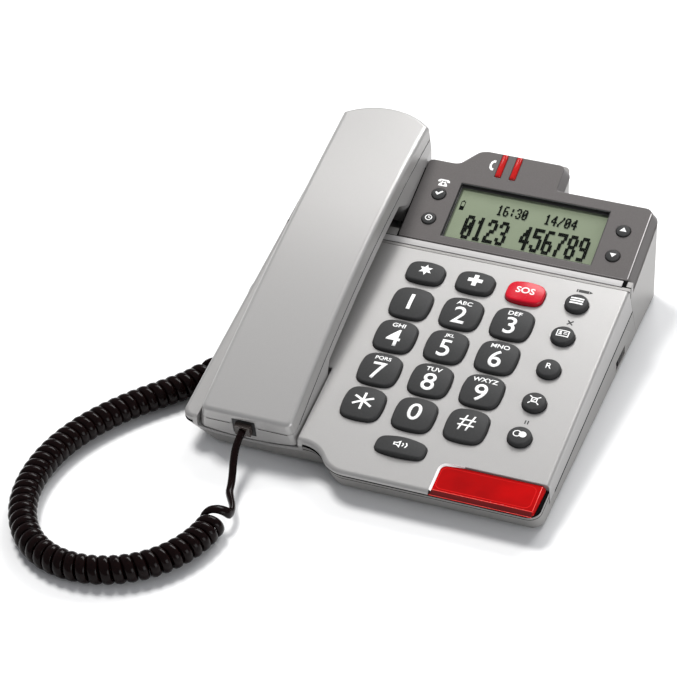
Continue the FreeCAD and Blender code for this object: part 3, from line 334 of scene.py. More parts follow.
# %% The recipe for a finish
def finish(name, light, dark, grain, roughness, bump=2e-6, bump_grain=900, edge=0.0, **constants):
    """A material that varies between two colours; both grains are in patches a metre."""
    material = bpy.data.materials.new(name)
    material.use_nodes = True
    tree = material.node_tree
    shader = tree.nodes["Principled BSDF"]
    place = tree.nodes.new("ShaderNodeTexCoord")
    colour_noise = tree.nodes.new("ShaderNodeTexNoise")
    colour_noise.inputs["Scale"].default_value = grain
    colour_noise.inputs["Detail"].default_value = 4
    tree.links.new(place.outputs["Object"], colour_noise.inputs["Vector"])
    ramp = tree.nodes.new("ShaderNodeValToRGB")
    ramp.color_ramp.elements[0].position = 0.3
    ramp.color_ramp.elements[0].color = (*dark, 1)
    ramp.color_ramp.elements[1].position = 0.7
    ramp.color_ramp.elements[1].color = (*light, 1)
    tree.links.new(colour_noise.outputs["Fac"], ramp.inputs["Fac"])
    tree.links.new(ramp.outputs["Color"], shader.inputs["Base Color"])
    gloss = tree.nodes.new("ShaderNodeMapRange")
    gloss.inputs["To Min"].default_value = roughness[0]
    gloss.inputs["To Max"].default_value = roughness[1]
    tree.links.new(colour_noise.outputs["Fac"], gloss.inputs["Value"])
    tree.links.new(gloss.outputs["Result"], shader.inputs["Roughness"])
    fine = tree.nodes.new("ShaderNodeTexNoise")
    fine.inputs["Scale"].default_value = bump_grain
    fine.inputs["Detail"].default_value = 2
    tree.links.new(place.outputs["Object"], fine.inputs["Vector"])
    relief = tree.nodes.new("ShaderNodeBump")
    relief.inputs["Strength"].default_value = 1
    relief.inputs["Distance"].default_value = bump
    tree.links.new(fine.outputs["Fac"], relief.inputs["Height"])
    tree.links.new(relief.outputs["Normal"], shader.inputs["Normal"])
    if edge:
        softened = tree.nodes.new("ShaderNodeBevel")
        softened.samples = 6
        softened.inputs["Radius"].default_value = edge
        tree.links.new(softened.outputs["Normal"], relief.inputs["Normal"])
    for socket, value in constants.items():
        shader.inputs[socket.replace("_", " ")].default_value = value
    return material


print("the recipe is ready")

# %% [markdown]
# ### Paints and plastics
#
# The handset and the deck are sprayed with a silver lacquer, a half-metallic coat with fine flakes.
# The deck's copy of the lacquer is made a little darker as painted shade, and the casing below is a
# duller moulding, its silver made darker still as painted shade for its walls under the deck.
# Full metal would be the simple choice for silver, but it turns black wherever it mirrors nothing.
# The keys are matt, the lamp and the light bars are clear red mouldings.

# %% Paints and plastics
silver_paint = finish("silver_paint", (0.4, 0.392, 0.384), (0.38, 0.372, 0.364), 2600, (0.28, 0.36),
                      bump=4e-6, bump_grain=4200, edge=0.5 * mm, Metallic=0.36)
# Painted highlight: a light grey for the console's right edge, where it catches the light.
edge_grey = finish("edge_grey", (0.62, 0.6, 0.6), (0.55, 0.53, 0.53), 1500, (0.3, 0.4),
                   bump=4e-6, bump_grain=3400)
strip_silver = finish("strip_silver", (0.42, 0.41, 0.405), (0.39, 0.38, 0.375), 2600, (0.5, 0.58),
                      bump=4e-6, bump_grain=4200, Metallic=0.1)
# Painted shade: the deck's lacquer is a darker copy of the handset's.
deck_silver = finish("deck_silver", (0.362, 0.354, 0.347), (0.344, 0.336, 0.329), 2600,
                     (0.28, 0.36), bump=4e-6, bump_grain=4200, edge=0.5 * mm, Metallic=0.36)
# Painted shade: the casing's silver is darkened for its walls under the deck; its dullness is the
# moulding's own.
casing_silver = finish("casing_silver", (0.26, 0.252, 0.243), (0.24, 0.232, 0.223), 1800,
                       (0.32, 0.4), bump=5e-6, bump_grain=3000, edge=0.4 * mm, Metallic=0.3)
console_grey = finish("console_grey", (0.098, 0.09, 0.088), (0.086, 0.078, 0.076), 1500,
                      (0.36, 0.46), bump=8e-6, bump_grain=3400, edge=0.8 * mm,
                      Specular_IOR_Level=0.4)
key_grey = finish("key_grey", (0.042, 0.042, 0.042), (0.036, 0.036, 0.036), 1200, (0.46, 0.54),
                  bump=3e-6, bump_grain=2600, edge=0.3 * mm, Specular_IOR_Level=0.14)
alarm_key_red = finish("alarm_key_red", (0.52, 0.003, 0.018), (0.47, 0.002, 0.014), 1200,
                       (0.22, 0.3), bump=3e-6, bump_grain=2600, Specular_IOR_Level=0.3)
lamp_red = finish("lamp_red", (0.46, 0.001, 0.0012), (0.22, 0.0006, 0.0008), 34, (0.05, 0.08),
                  bump=6e-6, bump_grain=300, edge=0.6 * mm, Specular_IOR_Level=0.2)
light_bar_red = finish("light_bar_red", (0.42, 0.008, 0.007), (0.36, 0.006, 0.005), 500,
                       (0.1, 0.16), Specular_IOR_Level=0.4)
lcd_grey_green = finish("lcd_grey_green", (0.222, 0.26, 0.178), (0.208, 0.245, 0.166), 90,
                        (0.5, 0.56), Specular_IOR_Level=0.2)
window_clear = finish("window_clear", (0.02, 0.02, 0.02), (0.015, 0.015, 0.015), 40, (0.03, 0.05),
                      Alpha=0.04)
cord_vinyl = finish("cord_vinyl", (0.006, 0.002, 0.0018), (0.003, 0.0012, 0.0012), 700, (0.12, 0.2),
                    bump=6e-6, bump_grain=1400, Specular_IOR_Level=0.1)
plug_clear = finish("plug_clear", (0.09, 0.07, 0.06), (0.07, 0.055, 0.05), 900, (0.08, 0.14),
                    Transmission_Weight=0.4)
black_plastic = finish("black_plastic", (0.012, 0.012, 0.012), (0.009, 0.009, 0.009), 900,
                       (0.35, 0.45), bump=6e-6, bump_grain=2000)
mat_rubber = finish("mat_rubber", (0.05, 0.05, 0.052), (0.042, 0.042, 0.044), 500, (0.6, 0.7),
                    bump=8e-6)
foot_rubber = finish("foot_rubber", (0.02, 0.02, 0.02), (0.015, 0.015, 0.015), 500, (0.65, 0.75),
                     bump=1e-5)
screw_steel = finish("screw_steel", (0.55, 0.55, 0.56), (0.48, 0.48, 0.49), 900, (0.25, 0.35),
                     Metallic=1.0)
battery_cans = finish("battery_cans", (0.1, 0.16, 0.12), (0.08, 0.13, 0.1), 90, (0.3, 0.4))
speaker_metal = finish("speaker_metal", (0.4, 0.4, 0.4), (0.34, 0.34, 0.34), 300, (0.35, 0.45),
                       Metallic=0.9)
circuit_board = finish("circuit_board", (0.01, 0.11, 0.035), (0.008, 0.085, 0.025), 260,
                       (0.3, 0.4))
table_white = finish("table_white", (0.86, 0.86, 0.86), (0.85, 0.85, 0.85), 6, (0.75, 0.85))
print("finishes:", len(bpy.data.materials))

# %% [markdown]
# Each CAD node gets the finish of the real piece that it stands for. A table of finishes and nodes
# takes the place of clicking through the pieces one by one, and shows at a glance what is made of
# what. Every key is matt grey first, and the alarm key is then painted over in red.

# %% Dress the CAD nodes
by_finish = {
    silver_paint: ["handset_outer_shell", "handset_inner_shell"],
    deck_silver: ["upper_shell"],
    casing_silver: ["lower_shell", "rear_housing", "battery_door"],
    console_grey: ["console_cover"],
    key_grey: [name for name in nodes if name.startswith(("key_", "button_"))],
    alarm_key_red: ["key_alarm"],
    lamp_red: ["alarm_lamp_lens"],
    light_bar_red: ["light_bar_left", "light_bar_right"],
    lcd_grey_green: ["lcd_panel"],
    window_clear: ["display_window"],
    plug_clear: ["cord_plug_handset", "cord_plug_base"],
    black_plastic: ["line_socket", "base_cord_socket", "handset_cord_socket", "hook_plunger",
                    "ringer_switch", "microphone"],
    mat_rubber: ["keypad_mat"],
    foot_rubber: ["rubber_feet"],
    screw_steel: ["casing_screws"],
    battery_cans: ["battery_cells"],
    speaker_metal: ["loudspeaker", "earpiece_speaker"],
    circuit_board: ["main_board", "console_board", "alarm_lamp_leds"],
}
for material, names in by_finish.items():
    for name in names:
        nodes[name].data.materials.clear()
        nodes[name].data.materials.append(material)
floor.data.materials.append(table_white)
cord_mesh.materials.append(cord_vinyl)
undressed = [name for name in nodes if not nodes[name].data.materials]
print("nodes without a finish:", undressed)

# %% [markdown]
# ## Printing
#
# The white signs on the keys are printed after moulding. A print follows the key's crown, so a
# flat letter would either sink into the dome or float over its edge. Each sign is therefore drawn
# flat, cut into a fine grid, dropped onto the CAD part with a Shrinkwrap modifier, and given the
# thickness of a film of ink. A texture would be the other way, but it would need an image.
#
# These steps come back for every sign, so each is a small helper.

# %% Helpers for flat pieces
def settle(name):
    """Leaves edit mode and names the sign that was just drawn."""
    if bpy.context.mode != "OBJECT":
        bpy.ops.object.mode_set(mode="OBJECT")
    drawn = bpy.context.object
    drawn.name = name
    return drawn


def take_up(piece):
    """Puts a new piece into the scene as the only one selected."""
    bpy.ops.object.select_all(action="DESELECT")
    bpy.context.scene.collection.objects.link(piece)
    piece.select_set(True)
    bpy.context.view_layer.objects.active = piece


def thicken(piece, thickness, offset):
    """Gives the thin piece in hand a thickness; offset 1 is outwards and -1 inwards."""
    solid = piece.modifiers.new("thickness", "SOLIDIFY")
    solid.thickness = thickness
    solid.offset = offset
    bpy.ops.object.modifier_apply(modifier=solid.name)


def turn_outwards():
    """Turns all faces of the piece in hand outwards."""
    bpy.ops.object.mode_set(mode="EDIT")
    bpy.ops.mesh.select_all(action="SELECT")
    bpy.ops.mesh.normals_make_consistent(inside=False)
    bpy.ops.object.mode_set(mode="OBJECT")


print("helpers for flat pieces ready")

# %% [markdown]
# Letters are text objects made into meshes. Their height is set from the finished mesh, because a
# text object's size counts the space above and below the letters too.

# %% Helpers for letters
def fit_height(drawn, height):
    """Centres a flat sign on the origin and gives it this height, in metres."""
    corners = [vertex.co for vertex in drawn.data.vertices]
    low = Vector([min(co[axis] for co in corners) for axis in range(3)])
    high = Vector([max(co[axis] for co in corners) for axis in range(3)])
    to_origin = Matrix.Translation(-(low + high) / 2)
    drawn.data.transform(Matrix.Scale(height / (high.y - low.y), 4) @ to_origin)
    return drawn


def letters(name, words, height, boldness=0.0):
    """Letters as a flat mesh; boldness is a share of their size."""
    bpy.ops.object.select_all(action="DESELECT")
    bpy.ops.object.text_add(location=(0, 0, 0))
    written = bpy.context.object
    written.data.body = words
    written.data.resolution_u = 5
    written.data.offset = boldness
    bpy.ops.object.convert(target="MESH")
    return fit_height(settle(name), height)


print("helpers for letters ready")

# %% [markdown]
# The printing itself starts a little above the face and falls straight down on it. Projecting keeps
# a sign's form as seen from above. The other Shrinkwrap way, to the nearest point, would pull its
# edges towards the slopes of the key.

# %% Helpers for printing
start_height = 8
ink_gap = 0.045 * mm
ink_film = 0.07 * mm


def cut_fine(drawn, step):
    """Cuts a flat sign along a square grid, so that it can bend."""
    corners = [vertex.co.copy() for vertex in drawn.data.vertices]
    bpy.ops.object.mode_set(mode="EDIT")
    for axis in range(2):
        place = min(co[axis] for co in corners) + step
        while place < max(co[axis] for co in corners):
            bpy.ops.mesh.select_all(action="SELECT")
            bpy.ops.mesh.bisect(plane_co=[place * (i == axis) for i in range(3)],
                                plane_no=[float(i == axis) for i in range(3)])
            place += step
    bpy.ops.object.mode_set(mode="OBJECT")


def print_on(drawn, node, body, axes, u, v, ink, step=1.3 * mm, lift=0.0):
    """Lays a flat sign on a CAD part as a film of ink; u and v are its place on the face in mm."""
    cut_fine(drawn, step)
    drawn.matrix_world = axes @ Matrix.Translation(Vector((u, v, start_height)) * mm)
    wrap = drawn.modifiers.new("lay_down", "SHRINKWRAP")
    wrap.target = nodes[node]
    wrap.wrap_method = "PROJECT"
    wrap.use_project_z = True
    wrap.use_negative_direction = True
    wrap.use_positive_direction = False
    wrap.offset = ink_gap + lift
    bpy.ops.object.modifier_apply(modifier=wrap.name)
    thicken(drawn, ink_film, -1)
    bpy.ops.object.transform_apply(location=True, rotation=True, scale=True)
    turn_outwards()
    drawn.data.materials.append(ink)
    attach(drawn, body)


print("helpers for printing ready")

# %% [markdown]
# Ink has a finish of its own, duller and of a finer grain than the plastic under it. The black of
# the
# seams is painted shade: it mirrors nothing at all, because a real gap lies in shade from every
# side.

# %% Inks
white_ink = finish("white_ink", (0.86, 0.86, 0.85), (0.8, 0.8, 0.79), 2400, (0.45, 0.55),
                   bump=2e-6, bump_grain=5000)
# The dark ink prints the deck's signs, and it is also the painted shade at the display's window.
dark_ink = finish("dark_ink", (0.02, 0.02, 0.02), (0.014, 0.014, 0.014), 2400, (0.45, 0.55),
                  bump=2e-6, bump_grain=5000)
seam_black = finish("seam_black", (0.006, 0.006, 0.006), (0.004, 0.004, 0.004), 900, (0.8, 0.9),
                    Specular_IOR_Level=0.0)
lcd_ink = finish("lcd_ink", (0.004, 0.005, 0.004), (0.002, 0.003, 0.002), 900, (0.6, 0.7),
                 Specular_IOR_Level=0.02)
print("inks ready")

# %% [markdown]
# The digits stand a little below the middle of each key, with the usual letter groups of a
# telephone above them. The "1" is a plain bar, so it is a plane and not a letter. The keys stand in
# even columns and rows, so a loop finds each place from two distances.

# %% Digits and letter groups
pitch_u, pitch_v = 25.0, 22.3
round_keys_u = 50.2
last_row_v = -2 * pitch_v + 0.4
alarm_row_v = 43.6
digit_height, letter_height = 10.2 * mm, 2.9 * mm
digit_bold, letter_bold = 0.008, 0.02
digit_below, letters_above = 2.3, 5.7
groups = ["", "ABC", "DEF", "GHI", "JKL", "MNO", "PQRS", "TUV", "WXYZ"]
for index, group in enumerate(groups):
    digit = str(index + 1)
    key = "key_" + digit
    u, v = (index % 3 - 1) * pitch_u, (1 - index // 3) * pitch_v
    if not group:
        bpy.ops.mesh.primitive_plane_add(size=1)
        bar = settle("digit_1")
        bar.data.transform(Matrix.Diagonal((1.75 * mm, 9.8 * mm, 1, 1)))
        print_on(bar, key, key + "_body", deck_face, u, v - 0.3, white_ink)
        continue
    print_on(letters("digit_" + digit, digit, digit_height, digit_bold), key, key + "_body",
             deck_face, u, v - digit_below, white_ink)
    print_on(letters("letters_" + digit, group, letter_height, letter_bold), key, key + "_body",
             deck_face, u, v + letters_above, white_ink)
for name, node, words, height, boldness, u, v in (
        ("digit_0", "key_0", "0", digit_height, digit_bold, 0, last_row_v),
        ("sign_hash", "key_hash", "#", 9.4 * mm, -0.005, pitch_u, last_row_v),
        ("sign_sos", "key_alarm", "SOS", 4.0 * mm, 0.02, pitch_u, alarm_row_v),
        ("sign_recall", "key_recall", "R", 3.4 * mm, 0.012, round_keys_u, -0.1)):
    print_on(letters(name, words, height, boldness), node, node + "_body", deck_face, u, v,
             white_ink)
print("signs with letters ready")

# %% [markdown]
# The other signs are pictograms. Each is drawn from closed outlines, and an outline inside another
# one leaves a hole. A filled 2D curve does this by itself, which is quicker than cutting a mesh.

# %% Helpers for pictograms
def outline(name, *loops):
    """A flat sign from closed outlines in millimetres."""
    curve = bpy.data.curves.new(name, "CURVE")
    curve.dimensions = "2D"
    curve.fill_mode = "BOTH"
    for loop in loops:
        spline = curve.splines.new("POLY")
        spline.points.add(len(loop) - 1)
        for point, (x, y) in zip(spline.points, loop):
            point.co = (x * mm, y * mm, 0, 1)
        spline.use_cyclic_u = True
    take_up(bpy.data.objects.new(name, curve))
    bpy.ops.object.convert(target="MESH")
    return settle(name)


def ring(x, y, radius, corners=28):
    """A round outline."""
    return [(x + radius * math.cos(2 * math.pi * i / corners),
             y + radius * math.sin(2 * math.pi * i / corners)) for i in range(corners)]


def block(left, low, right, high):
    """A rectangular outline."""
    return [(left, low), (right, low), (right, high), (left, high)]


def stroke(x0, y0, x1, y1, width):
    """The outline of a straight stroke."""
    length = math.hypot(x1 - x0, y1 - y0)
    dx, dy = (y0 - y1) * width / 2 / length, (x1 - x0) * width / 2 / length
    return [(x0 - dx, y0 - dy), (x1 - dx, y1 - dy), (x1 + dx, y1 + dy), (x0 + dx, y0 + dy)]


def spokes(count, length, width):
    """A star of straight arms, such as an asterisk or a plus sign."""
    inner = width / 2 / math.sin(math.pi / count)
    points = []
    for i in range(count):
        angle = math.pi / 2 + 2 * math.pi * i / count
        along, across = (math.cos(angle), math.sin(angle)), (-math.sin(angle), math.cos(angle))
        for side in (-width / 2, width / 2):
            points.append((along[0] * length + across[0] * side,
                           along[1] * length + across[1] * side))
        valley = angle + math.pi / count
        points.append((inner * math.cos(valley), inner * math.sin(valley)))
    return points


def points_star(count, outer, inner):
    """A star with sharp points."""
    return [((outer, inner)[i % 2] * math.cos(math.pi / 2 + math.pi * i / count),
             (outer, inner)[i % 2] * math.sin(math.pi / 2 + math.pi * i / count))
            for i in range(2 * count)]


print("pictogram helpers ready")

# %% [markdown]
# The keys carry a star, a plus, an asterisk, a loudspeaker, a menu of three lines, a list of
# callers, a crossed-out microphone and two overlapping rounds for "dial again".

# %% Pictograms on the keys
def key_sign(node, u, v, *loops):
    """Prints a white pictogram on a key."""
    print_on(outline("sign_" + node[4:], *loops), node, node + "_body", deck_face, u, v,
             white_ink, step=1.0 * mm)


key_sign("key_memory_star", -pitch_u, 43.9, points_star(6, 3.5, 1.75))
key_sign("key_memory_plus", 0.0, alarm_row_v, spokes(4, 3.6, 2.2))
key_sign("key_star", -pitch_u, -44.4, spokes(6, 5.2, 1.15))
speaker_cone = [(-3.4, -0.85), (-1.9, -0.85), (-0.1, -2.2), (-0.1, 2.2), (-1.9, 0.85), (-3.4, 0.85)]
speaker_hole = [(-2.8, -0.35), (-1.6, -0.35), (-0.7, -1.0), (-0.7, 1.0), (-1.6, 0.35), (-2.8, 0.35)]
key_sign("key_speaker", 0.5, -65.1, speaker_cone, speaker_hole,
         stroke(0.9, -1.0, 1.4, 0, 0.55), stroke(0.9, 1.0, 1.4, 0.06, 0.55),
         stroke(2.4, -1.5, 3.1, 0, 0.6), stroke(2.4, 1.5, 3.1, 0.06, 0.6))
key_sign("key_menu", round_keys_u, 43.7, block(-3.2, 1.1, 3.2, 2.0),
         block(-3.2, -0.45, 3.2, 0.45), block(-3.2, -2.0, 3.2, -1.1))
key_sign("key_caller_list", round_keys_u, 21.6, block(-3.0, -2.0, 3.0, 2.0),
         block(-2.5, -1.5, 2.5, 1.5), ring(-1.2, 0.5, 0.62, 14), block(-2.0, -1.0, -0.4, -0.3),
         block(0.3, 0.5, 2.0, 0.9), block(0.3, -0.5, 2.0, -0.1))
key_sign("key_mute", round_keys_u, -pitch_v, block(-1.5, -1.5, 1.5, 1.5),
         block(-0.95, -0.95, 0.95, 0.95),
         stroke(-2.6, -2.4, -1.55, -1.55, 0.55), stroke(2.6, -2.4, 1.55, -1.55, 0.55),
         stroke(-2.6, 2.4, -1.55, 1.55, 0.55), stroke(2.6, 2.4, 1.55, 1.55, 0.55),
         stroke(-0.7, -0.7, 0.7, 0.7, 0.4))
redial_v = -44.0
key_sign("key_redial", round_keys_u, redial_v, ring(-1.3, 0, 1.95), ring(-1.3, 0, 1.45))
print_on(outline("sign_redial_disc", ring(1.35, 0, 1.75)), "key_redial", "key_redial_body",
         deck_face, round_keys_u, redial_v, white_ink)
print("pictograms on the keys ready")

# %% [markdown]
# Three small dark signs stand on the deck beside the round keys: a pencil, a cross and a pause.

# %% Pictograms on the deck
def deck_sign(name, u, v, *loops):
    """Prints a dark pictogram on the deck."""
    print_on(outline(name, *loops), "upper_shell", "base", deck_face, u, v, dark_ink)


deck_sign("sign_pencil", 51.2, 53.3, stroke(-2.9, -0.3, 2.2, -0.3, 1.8),
          [(2.45, -1.2), (4.0, -0.3), (2.45, 0.6)], stroke(-3.9, -0.3, -3.2, -0.3, 1.8))
deck_sign("sign_cross", 50.6, 31.6, stroke(-1.3, -1.3, 1.3, 1.3, 0.7),
          stroke(-1.3, 1.3, -0.26, 0.26, 0.7), stroke(0.26, -0.26, 1.3, -1.3, 0.7))
deck_sign("sign_pause", round_keys_u, -34.0, block(-0.95, -1.1, -0.35, 1.1),
          block(0.35, -1.1, 0.95, 1.1))
print("signs on the deck ready")

# %% [markdown]
# The console's four buttons are a tick, a clock and two arrows. A small telephone stands above the
# tick, and a receiver beside the two light bars.

# %% Pictograms on the console
def console_sign(name, node, body, u, w, *loops):
    """Prints a white pictogram on the console or one of its buttons."""
    print_on(outline(name, *loops), node, body, console_face, u, w, white_ink, step=0.9 * mm)


left_buttons_u = -35.6
clock_w = 13.7
console_sign("sign_tick", "button_ok", "button_ok_body", left_buttons_u, 29.5,
             [(-1.9, 0.1), (-1.2, 0.7), (-0.45, -0.2), (1.5, 1.7), (2.0, 1.1), (-0.4, -1.4)])
console_sign("sign_clock", "button_clock", "button_clock_body", left_buttons_u, clock_w,
             ring(0, 0, 1.75), ring(0, 0, 1.3))
console_sign("sign_clock_hands", "button_clock", "button_clock_body", left_buttons_u, clock_w,
             [(-0.2, 0.95), (-0.2, -0.2), (0.85, -0.2), (0.85, 0.18), (0.18, 0.18), (0.18, 0.95)])
console_sign("sign_up", "button_up", "button_up_body", 58.2, 28.8,
             [(-1.7, -0.9), (1.7, -0.9), (0, 1.5)])
console_sign("sign_down", "button_down", "button_down_body", 57.5, 13.0,
             [(-1.6, 0.9), (0, -1.4), (1.6, 0.9)])
console_sign("sign_telephone", "console_cover", "base", left_buttons_u, 36.7,
             [(-3.0, 0.5), (-3.0, 1.3), (-2.0, 2.2), (2.0, 2.2), (3.0, 1.3), (3.0, 0.5), (1.7, 0.5),
              (1.6, 1.3), (-1.6, 1.3), (-1.7, 0.5)],
             [(-2.2, -2.0), (2.2, -2.0), (2.2, -1.1), (1.1, 0.5), (1.1, 1.0), (0.5, 1.0),
              (0.5, 0.6), (-0.5, 0.6), (-0.5, 1.0), (-1.1, 1.0), (-1.1, 0.5), (-2.2, -1.1)],
             ring(0, -0.6, 0.75, 16))
console_sign("sign_receiver", "console_cover", "base", -15.7, 53.2,
             [(1.2, 3.2), (0.1, 3.2), (-1.0, 2.0), (-1.3, 0), (-1.0, -2.0), (0.1, -3.2),
              (1.2, -3.2), (1.2, -1.9), (0.2, -1.7), (-0.35, 0), (0.2, 1.7), (1.2, 1.9)])
print("signs on the console ready")

# %% [markdown]
# ## The display
#
# A liquid crystal display shows dots. Each line of digits is a grid with the unlit squares deleted,
# and what is left is laid on the panel, under the window. A faint grey copy, shifted a little, is
# the shadow that lit dots cast on the panel's back layer.

#
# Each figure is given as seven rows of five dots, and each row as one number whose bits are the
# dots. Every dot also lights its neighbour, which makes the figures as bold as real ones.

# %% A dot-matrix line
dots = {"0": (14, 17, 19, 21, 25, 17, 14), "1": (4, 12, 4, 4, 4, 4, 14),
        "2": (14, 17, 1, 6, 8, 16, 31), "3": (14, 17, 1, 6, 1, 17, 14),
        "4": (2, 6, 10, 18, 31, 2, 2), "5": (31, 16, 30, 1, 1, 17, 14),
        "6": (14, 16, 16, 30, 17, 17, 14), "7": (31, 1, 2, 4, 4, 8, 8),
        "8": (14, 17, 17, 14, 17, 17, 14), "9": (14, 17, 17, 15, 1, 1, 14),
        ":": (0, 4, 4, 0, 4, 4, 0), "/": (1, 1, 2, 4, 8, 16, 16), " ": (0, 0, 0, 0, 0, 0, 0)}
dot_rows, dot_columns, bold = 7, 5, 1
uncut = 20 * mm
lcd_shade = finish("lcd_shade", (0.14, 0.168, 0.112), (0.13, 0.157, 0.104), 900, (0.5, 0.6))


def dot_line(name, words, dot_wide, dot_high, u, w, ink, lift):
    """A line of dot-matrix figures, its lower left corner at u, w on the console, in mm."""
    cell = dot_columns + bold + 1
    columns, rows = cell * len(words) - 1, dot_rows
    bpy.ops.object.select_all(action="DESELECT")
    bpy.ops.mesh.primitive_grid_add(x_subdivisions=columns, y_subdivisions=rows, size=1)
    line = settle(name)
    line.data.transform(Matrix.Diagonal((columns * dot_wide * mm, rows * dot_high * mm, 1, 1)))
    bpy.ops.object.mode_set(mode="EDIT")
    bpy.ops.mesh.select_all(action="DESELECT")
    bpy.ops.object.mode_set(mode="OBJECT")
    for face in line.data.polygons:
        column = round(face.center.x / (dot_wide * mm) + (columns - 1) / 2)
        row = round((rows - 1) / 2 - face.center.y / (dot_high * mm))
        figure, bit = divmod(column, cell)
        lit = dots[words[figure]][row] << bold | dots[words[figure]][row]
        face.select = bit == cell - 1 or not lit >> (dot_columns - 1 + bold - bit) & 1
    bpy.ops.object.mode_set(mode="EDIT")
    bpy.ops.mesh.select_mode(type="FACE")
    bpy.ops.mesh.delete(type="FACE")
    bpy.ops.mesh.select_all(action="SELECT")
    bpy.ops.mesh.inset(thickness=0.03 * dot_wide * mm, use_individual=True)
    bpy.ops.mesh.select_all(action="INVERT")
    bpy.ops.mesh.delete(type="FACE")
    bpy.ops.object.mode_set(mode="OBJECT")
    print_on(line, "lcd_panel", "base", console_face, u + columns * dot_wide / 2,
             w + rows * dot_high / 2, ink, step=uncut, lift=lift)


lines = (("clock_", "16:30", 0.45, 0.91, -5.5, 25.6), ("date_", "14/04", 0.48, 0.91, 18.6, 25.6),
         ("number_", "0123 456789", 0.83, 2.1, -18.8, 7.8))
over_shade = 0.05 * mm
for ink, label, shift_u, shift_w, lift in ((lcd_shade, "shade", 0.35, -0.45, 0),
                                           (lcd_ink, "figures", 0, 0, over_shade)):
    for name, words, dot_wide, dot_high, u, w in lines:
        dot_line(name + label, words, dot_wide, dot_high, u + shift_u, w + shift_w, ink, lift)
print_on(outline("battery_sign", block(-1.1, -2.9, 1.1, 2.6), block(-0.75, -0.4, 0.75, 2.25),
                 block(-0.45, 2.6, 0.45, 3.2)),
         "lcd_panel", "base", console_face, -23.0, 27.4, lcd_ink, step=uncut)
print("display ready")

# %% [markdown]
# The window sits in a recess whose walls are lined black as painted shade. A black edge lies on the
# window, thin all round as print and broad along the top as the painted shadow of the recess's
# upper wall, with a fine silver line at the left. Cutting the edge into the CAD part would change
# its mesh, so each is drawn as an outline with a hole.

# %% The window's black surround and painted shade
# Painted shade: the broad top of this black edge stands for the shadow of the recess's upper wall;
# the thin rest is printed.
surround = outline("window_edge", block(-26.8, 5.2, 48.8, 38.8), block(-25.9, 5.35, 48.65, 37.3))
print_on(surround, "display_window", "base", console_face, 0, 0, dark_ink, step=uncut)
thin_line = outline("window_line", block(-26.55, 5.3, -26.35, 38.2))
print_on(thin_line, "display_window", "base", console_face, 0, 0, casing_silver, step=uncut,
         lift=0.05 * mm)
recess_depth = 1.35 * mm
# Painted shade: black walls in the window's recess.
recess_shade = outline("window_liner", block(-26.98, 5.02, 48.98, 38.98), block(-26.75, 5.25, 48.75, 38.5))
bpy.ops.object.mode_set(mode="EDIT")
bpy.ops.mesh.select_all(action="SELECT")
bpy.ops.mesh.extrude_region_move(TRANSFORM_OT_translate={"value": (0, 0, -recess_depth)})
bpy.ops.object.mode_set(mode="OBJECT")
turn_outwards()
recess_shade.data.transform(console_face @ Matrix.Translation((0, 0, -0.06 * mm)))
recess_shade.data.materials.append(dark_ink)
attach(recess_shade, "base")
print("window surround ready")

# %% [markdown]
# ## Bars, strips and seams
#
# A bright strip crosses the deck just in front of the console, with a groove before it and a dark
# gap behind it; the groove and the gap are black bars of painted shade. A light bar on the
# console's right edge is a painted highlight. Such a bar is a cube, scaled in edit mode, whose
# edges are rounded by a Bevel modifier. Drawing the lines with a texture would leave nothing to
# catch the light.

# %% Bars on the deck and the console
def bar(name, axes, low, high, edge, material, body="base", segments=3):
    """A straight bar with rounded edges between two corners, in millimetres on a face's axes."""
    bpy.ops.object.select_all(action="DESELECT")
    bpy.ops.mesh.primitive_cube_add(size=1)
    made = settle(name)
    size = [(b - a) * mm for a, b in zip(low, high)]
    middle = Vector([(a + b) / 2 * mm for a, b in zip(low, high)])
    bpy.ops.object.mode_set(mode="EDIT")
    bpy.ops.mesh.select_all(action="SELECT")
    bpy.ops.transform.resize(value=size)
    bpy.ops.object.mode_set(mode="OBJECT")
    if edge:
        rounding = made.modifiers.new("rounding", "BEVEL")
        rounding.width = edge * mm
        rounding.segments = segments
        bpy.ops.object.modifier_apply(modifier=rounding.name)
    made.data.transform(axes @ Matrix.Translation(middle))
    for polygon in made.data.polygons:
        polygon.use_smooth = bool(edge)
    made.data.materials.append(material)
    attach(made, body)
    return made


bar("deck_strip", deck_face, (-53.5, 60.8, -0.3), (66.8, 64.75, 0.24), 0.2, strip_silver)
# Painted shade: black bands for the groove, the gap and the strip's end.
bar("strip_groove", deck_face, (-53.5, 60.5, -0.3), (67.4, 60.8, 0.03), 0, seam_black)
bar("strip_gap", deck_face, (-53.5, 64.75, -0.3), (68.2, 65.15, 0.06), 0, seam_black)
bar("strip_end", deck_face, (66.6, 60.9, -0.3), (69.0, 65.6, 0.05), 0, seam_black)
bar("console_lip", console_face, (-46.8, 0.05, -0.6), (68.4, 1.15, 0.22), 0.4, console_grey)
# Painted highlight: a light grey bar along the console's right edge.
bar("console_edge", console_face, (67.9, 1.2, -0.6), (68.45, 42.5, 0.06), 0.2, edge_grey)
# Painted shade: a black line in the gap at the console's left edge.
bar("console_gap", console_face, (-47.45, 0, -0.6), (-46.98, 44, 0.05), 0, seam_black)
print("strip ready")

# %% [markdown]
# Where the upper shell meets the lower one, the real casing shows a gap in shade, and the shade is
# painted as a black band. The gap's course is already in the CAD, so a copy of the lower shell is
# cut by two planes until only a narrow band is left. Drawing the same course by hand would take a
# curve with dozens of points.

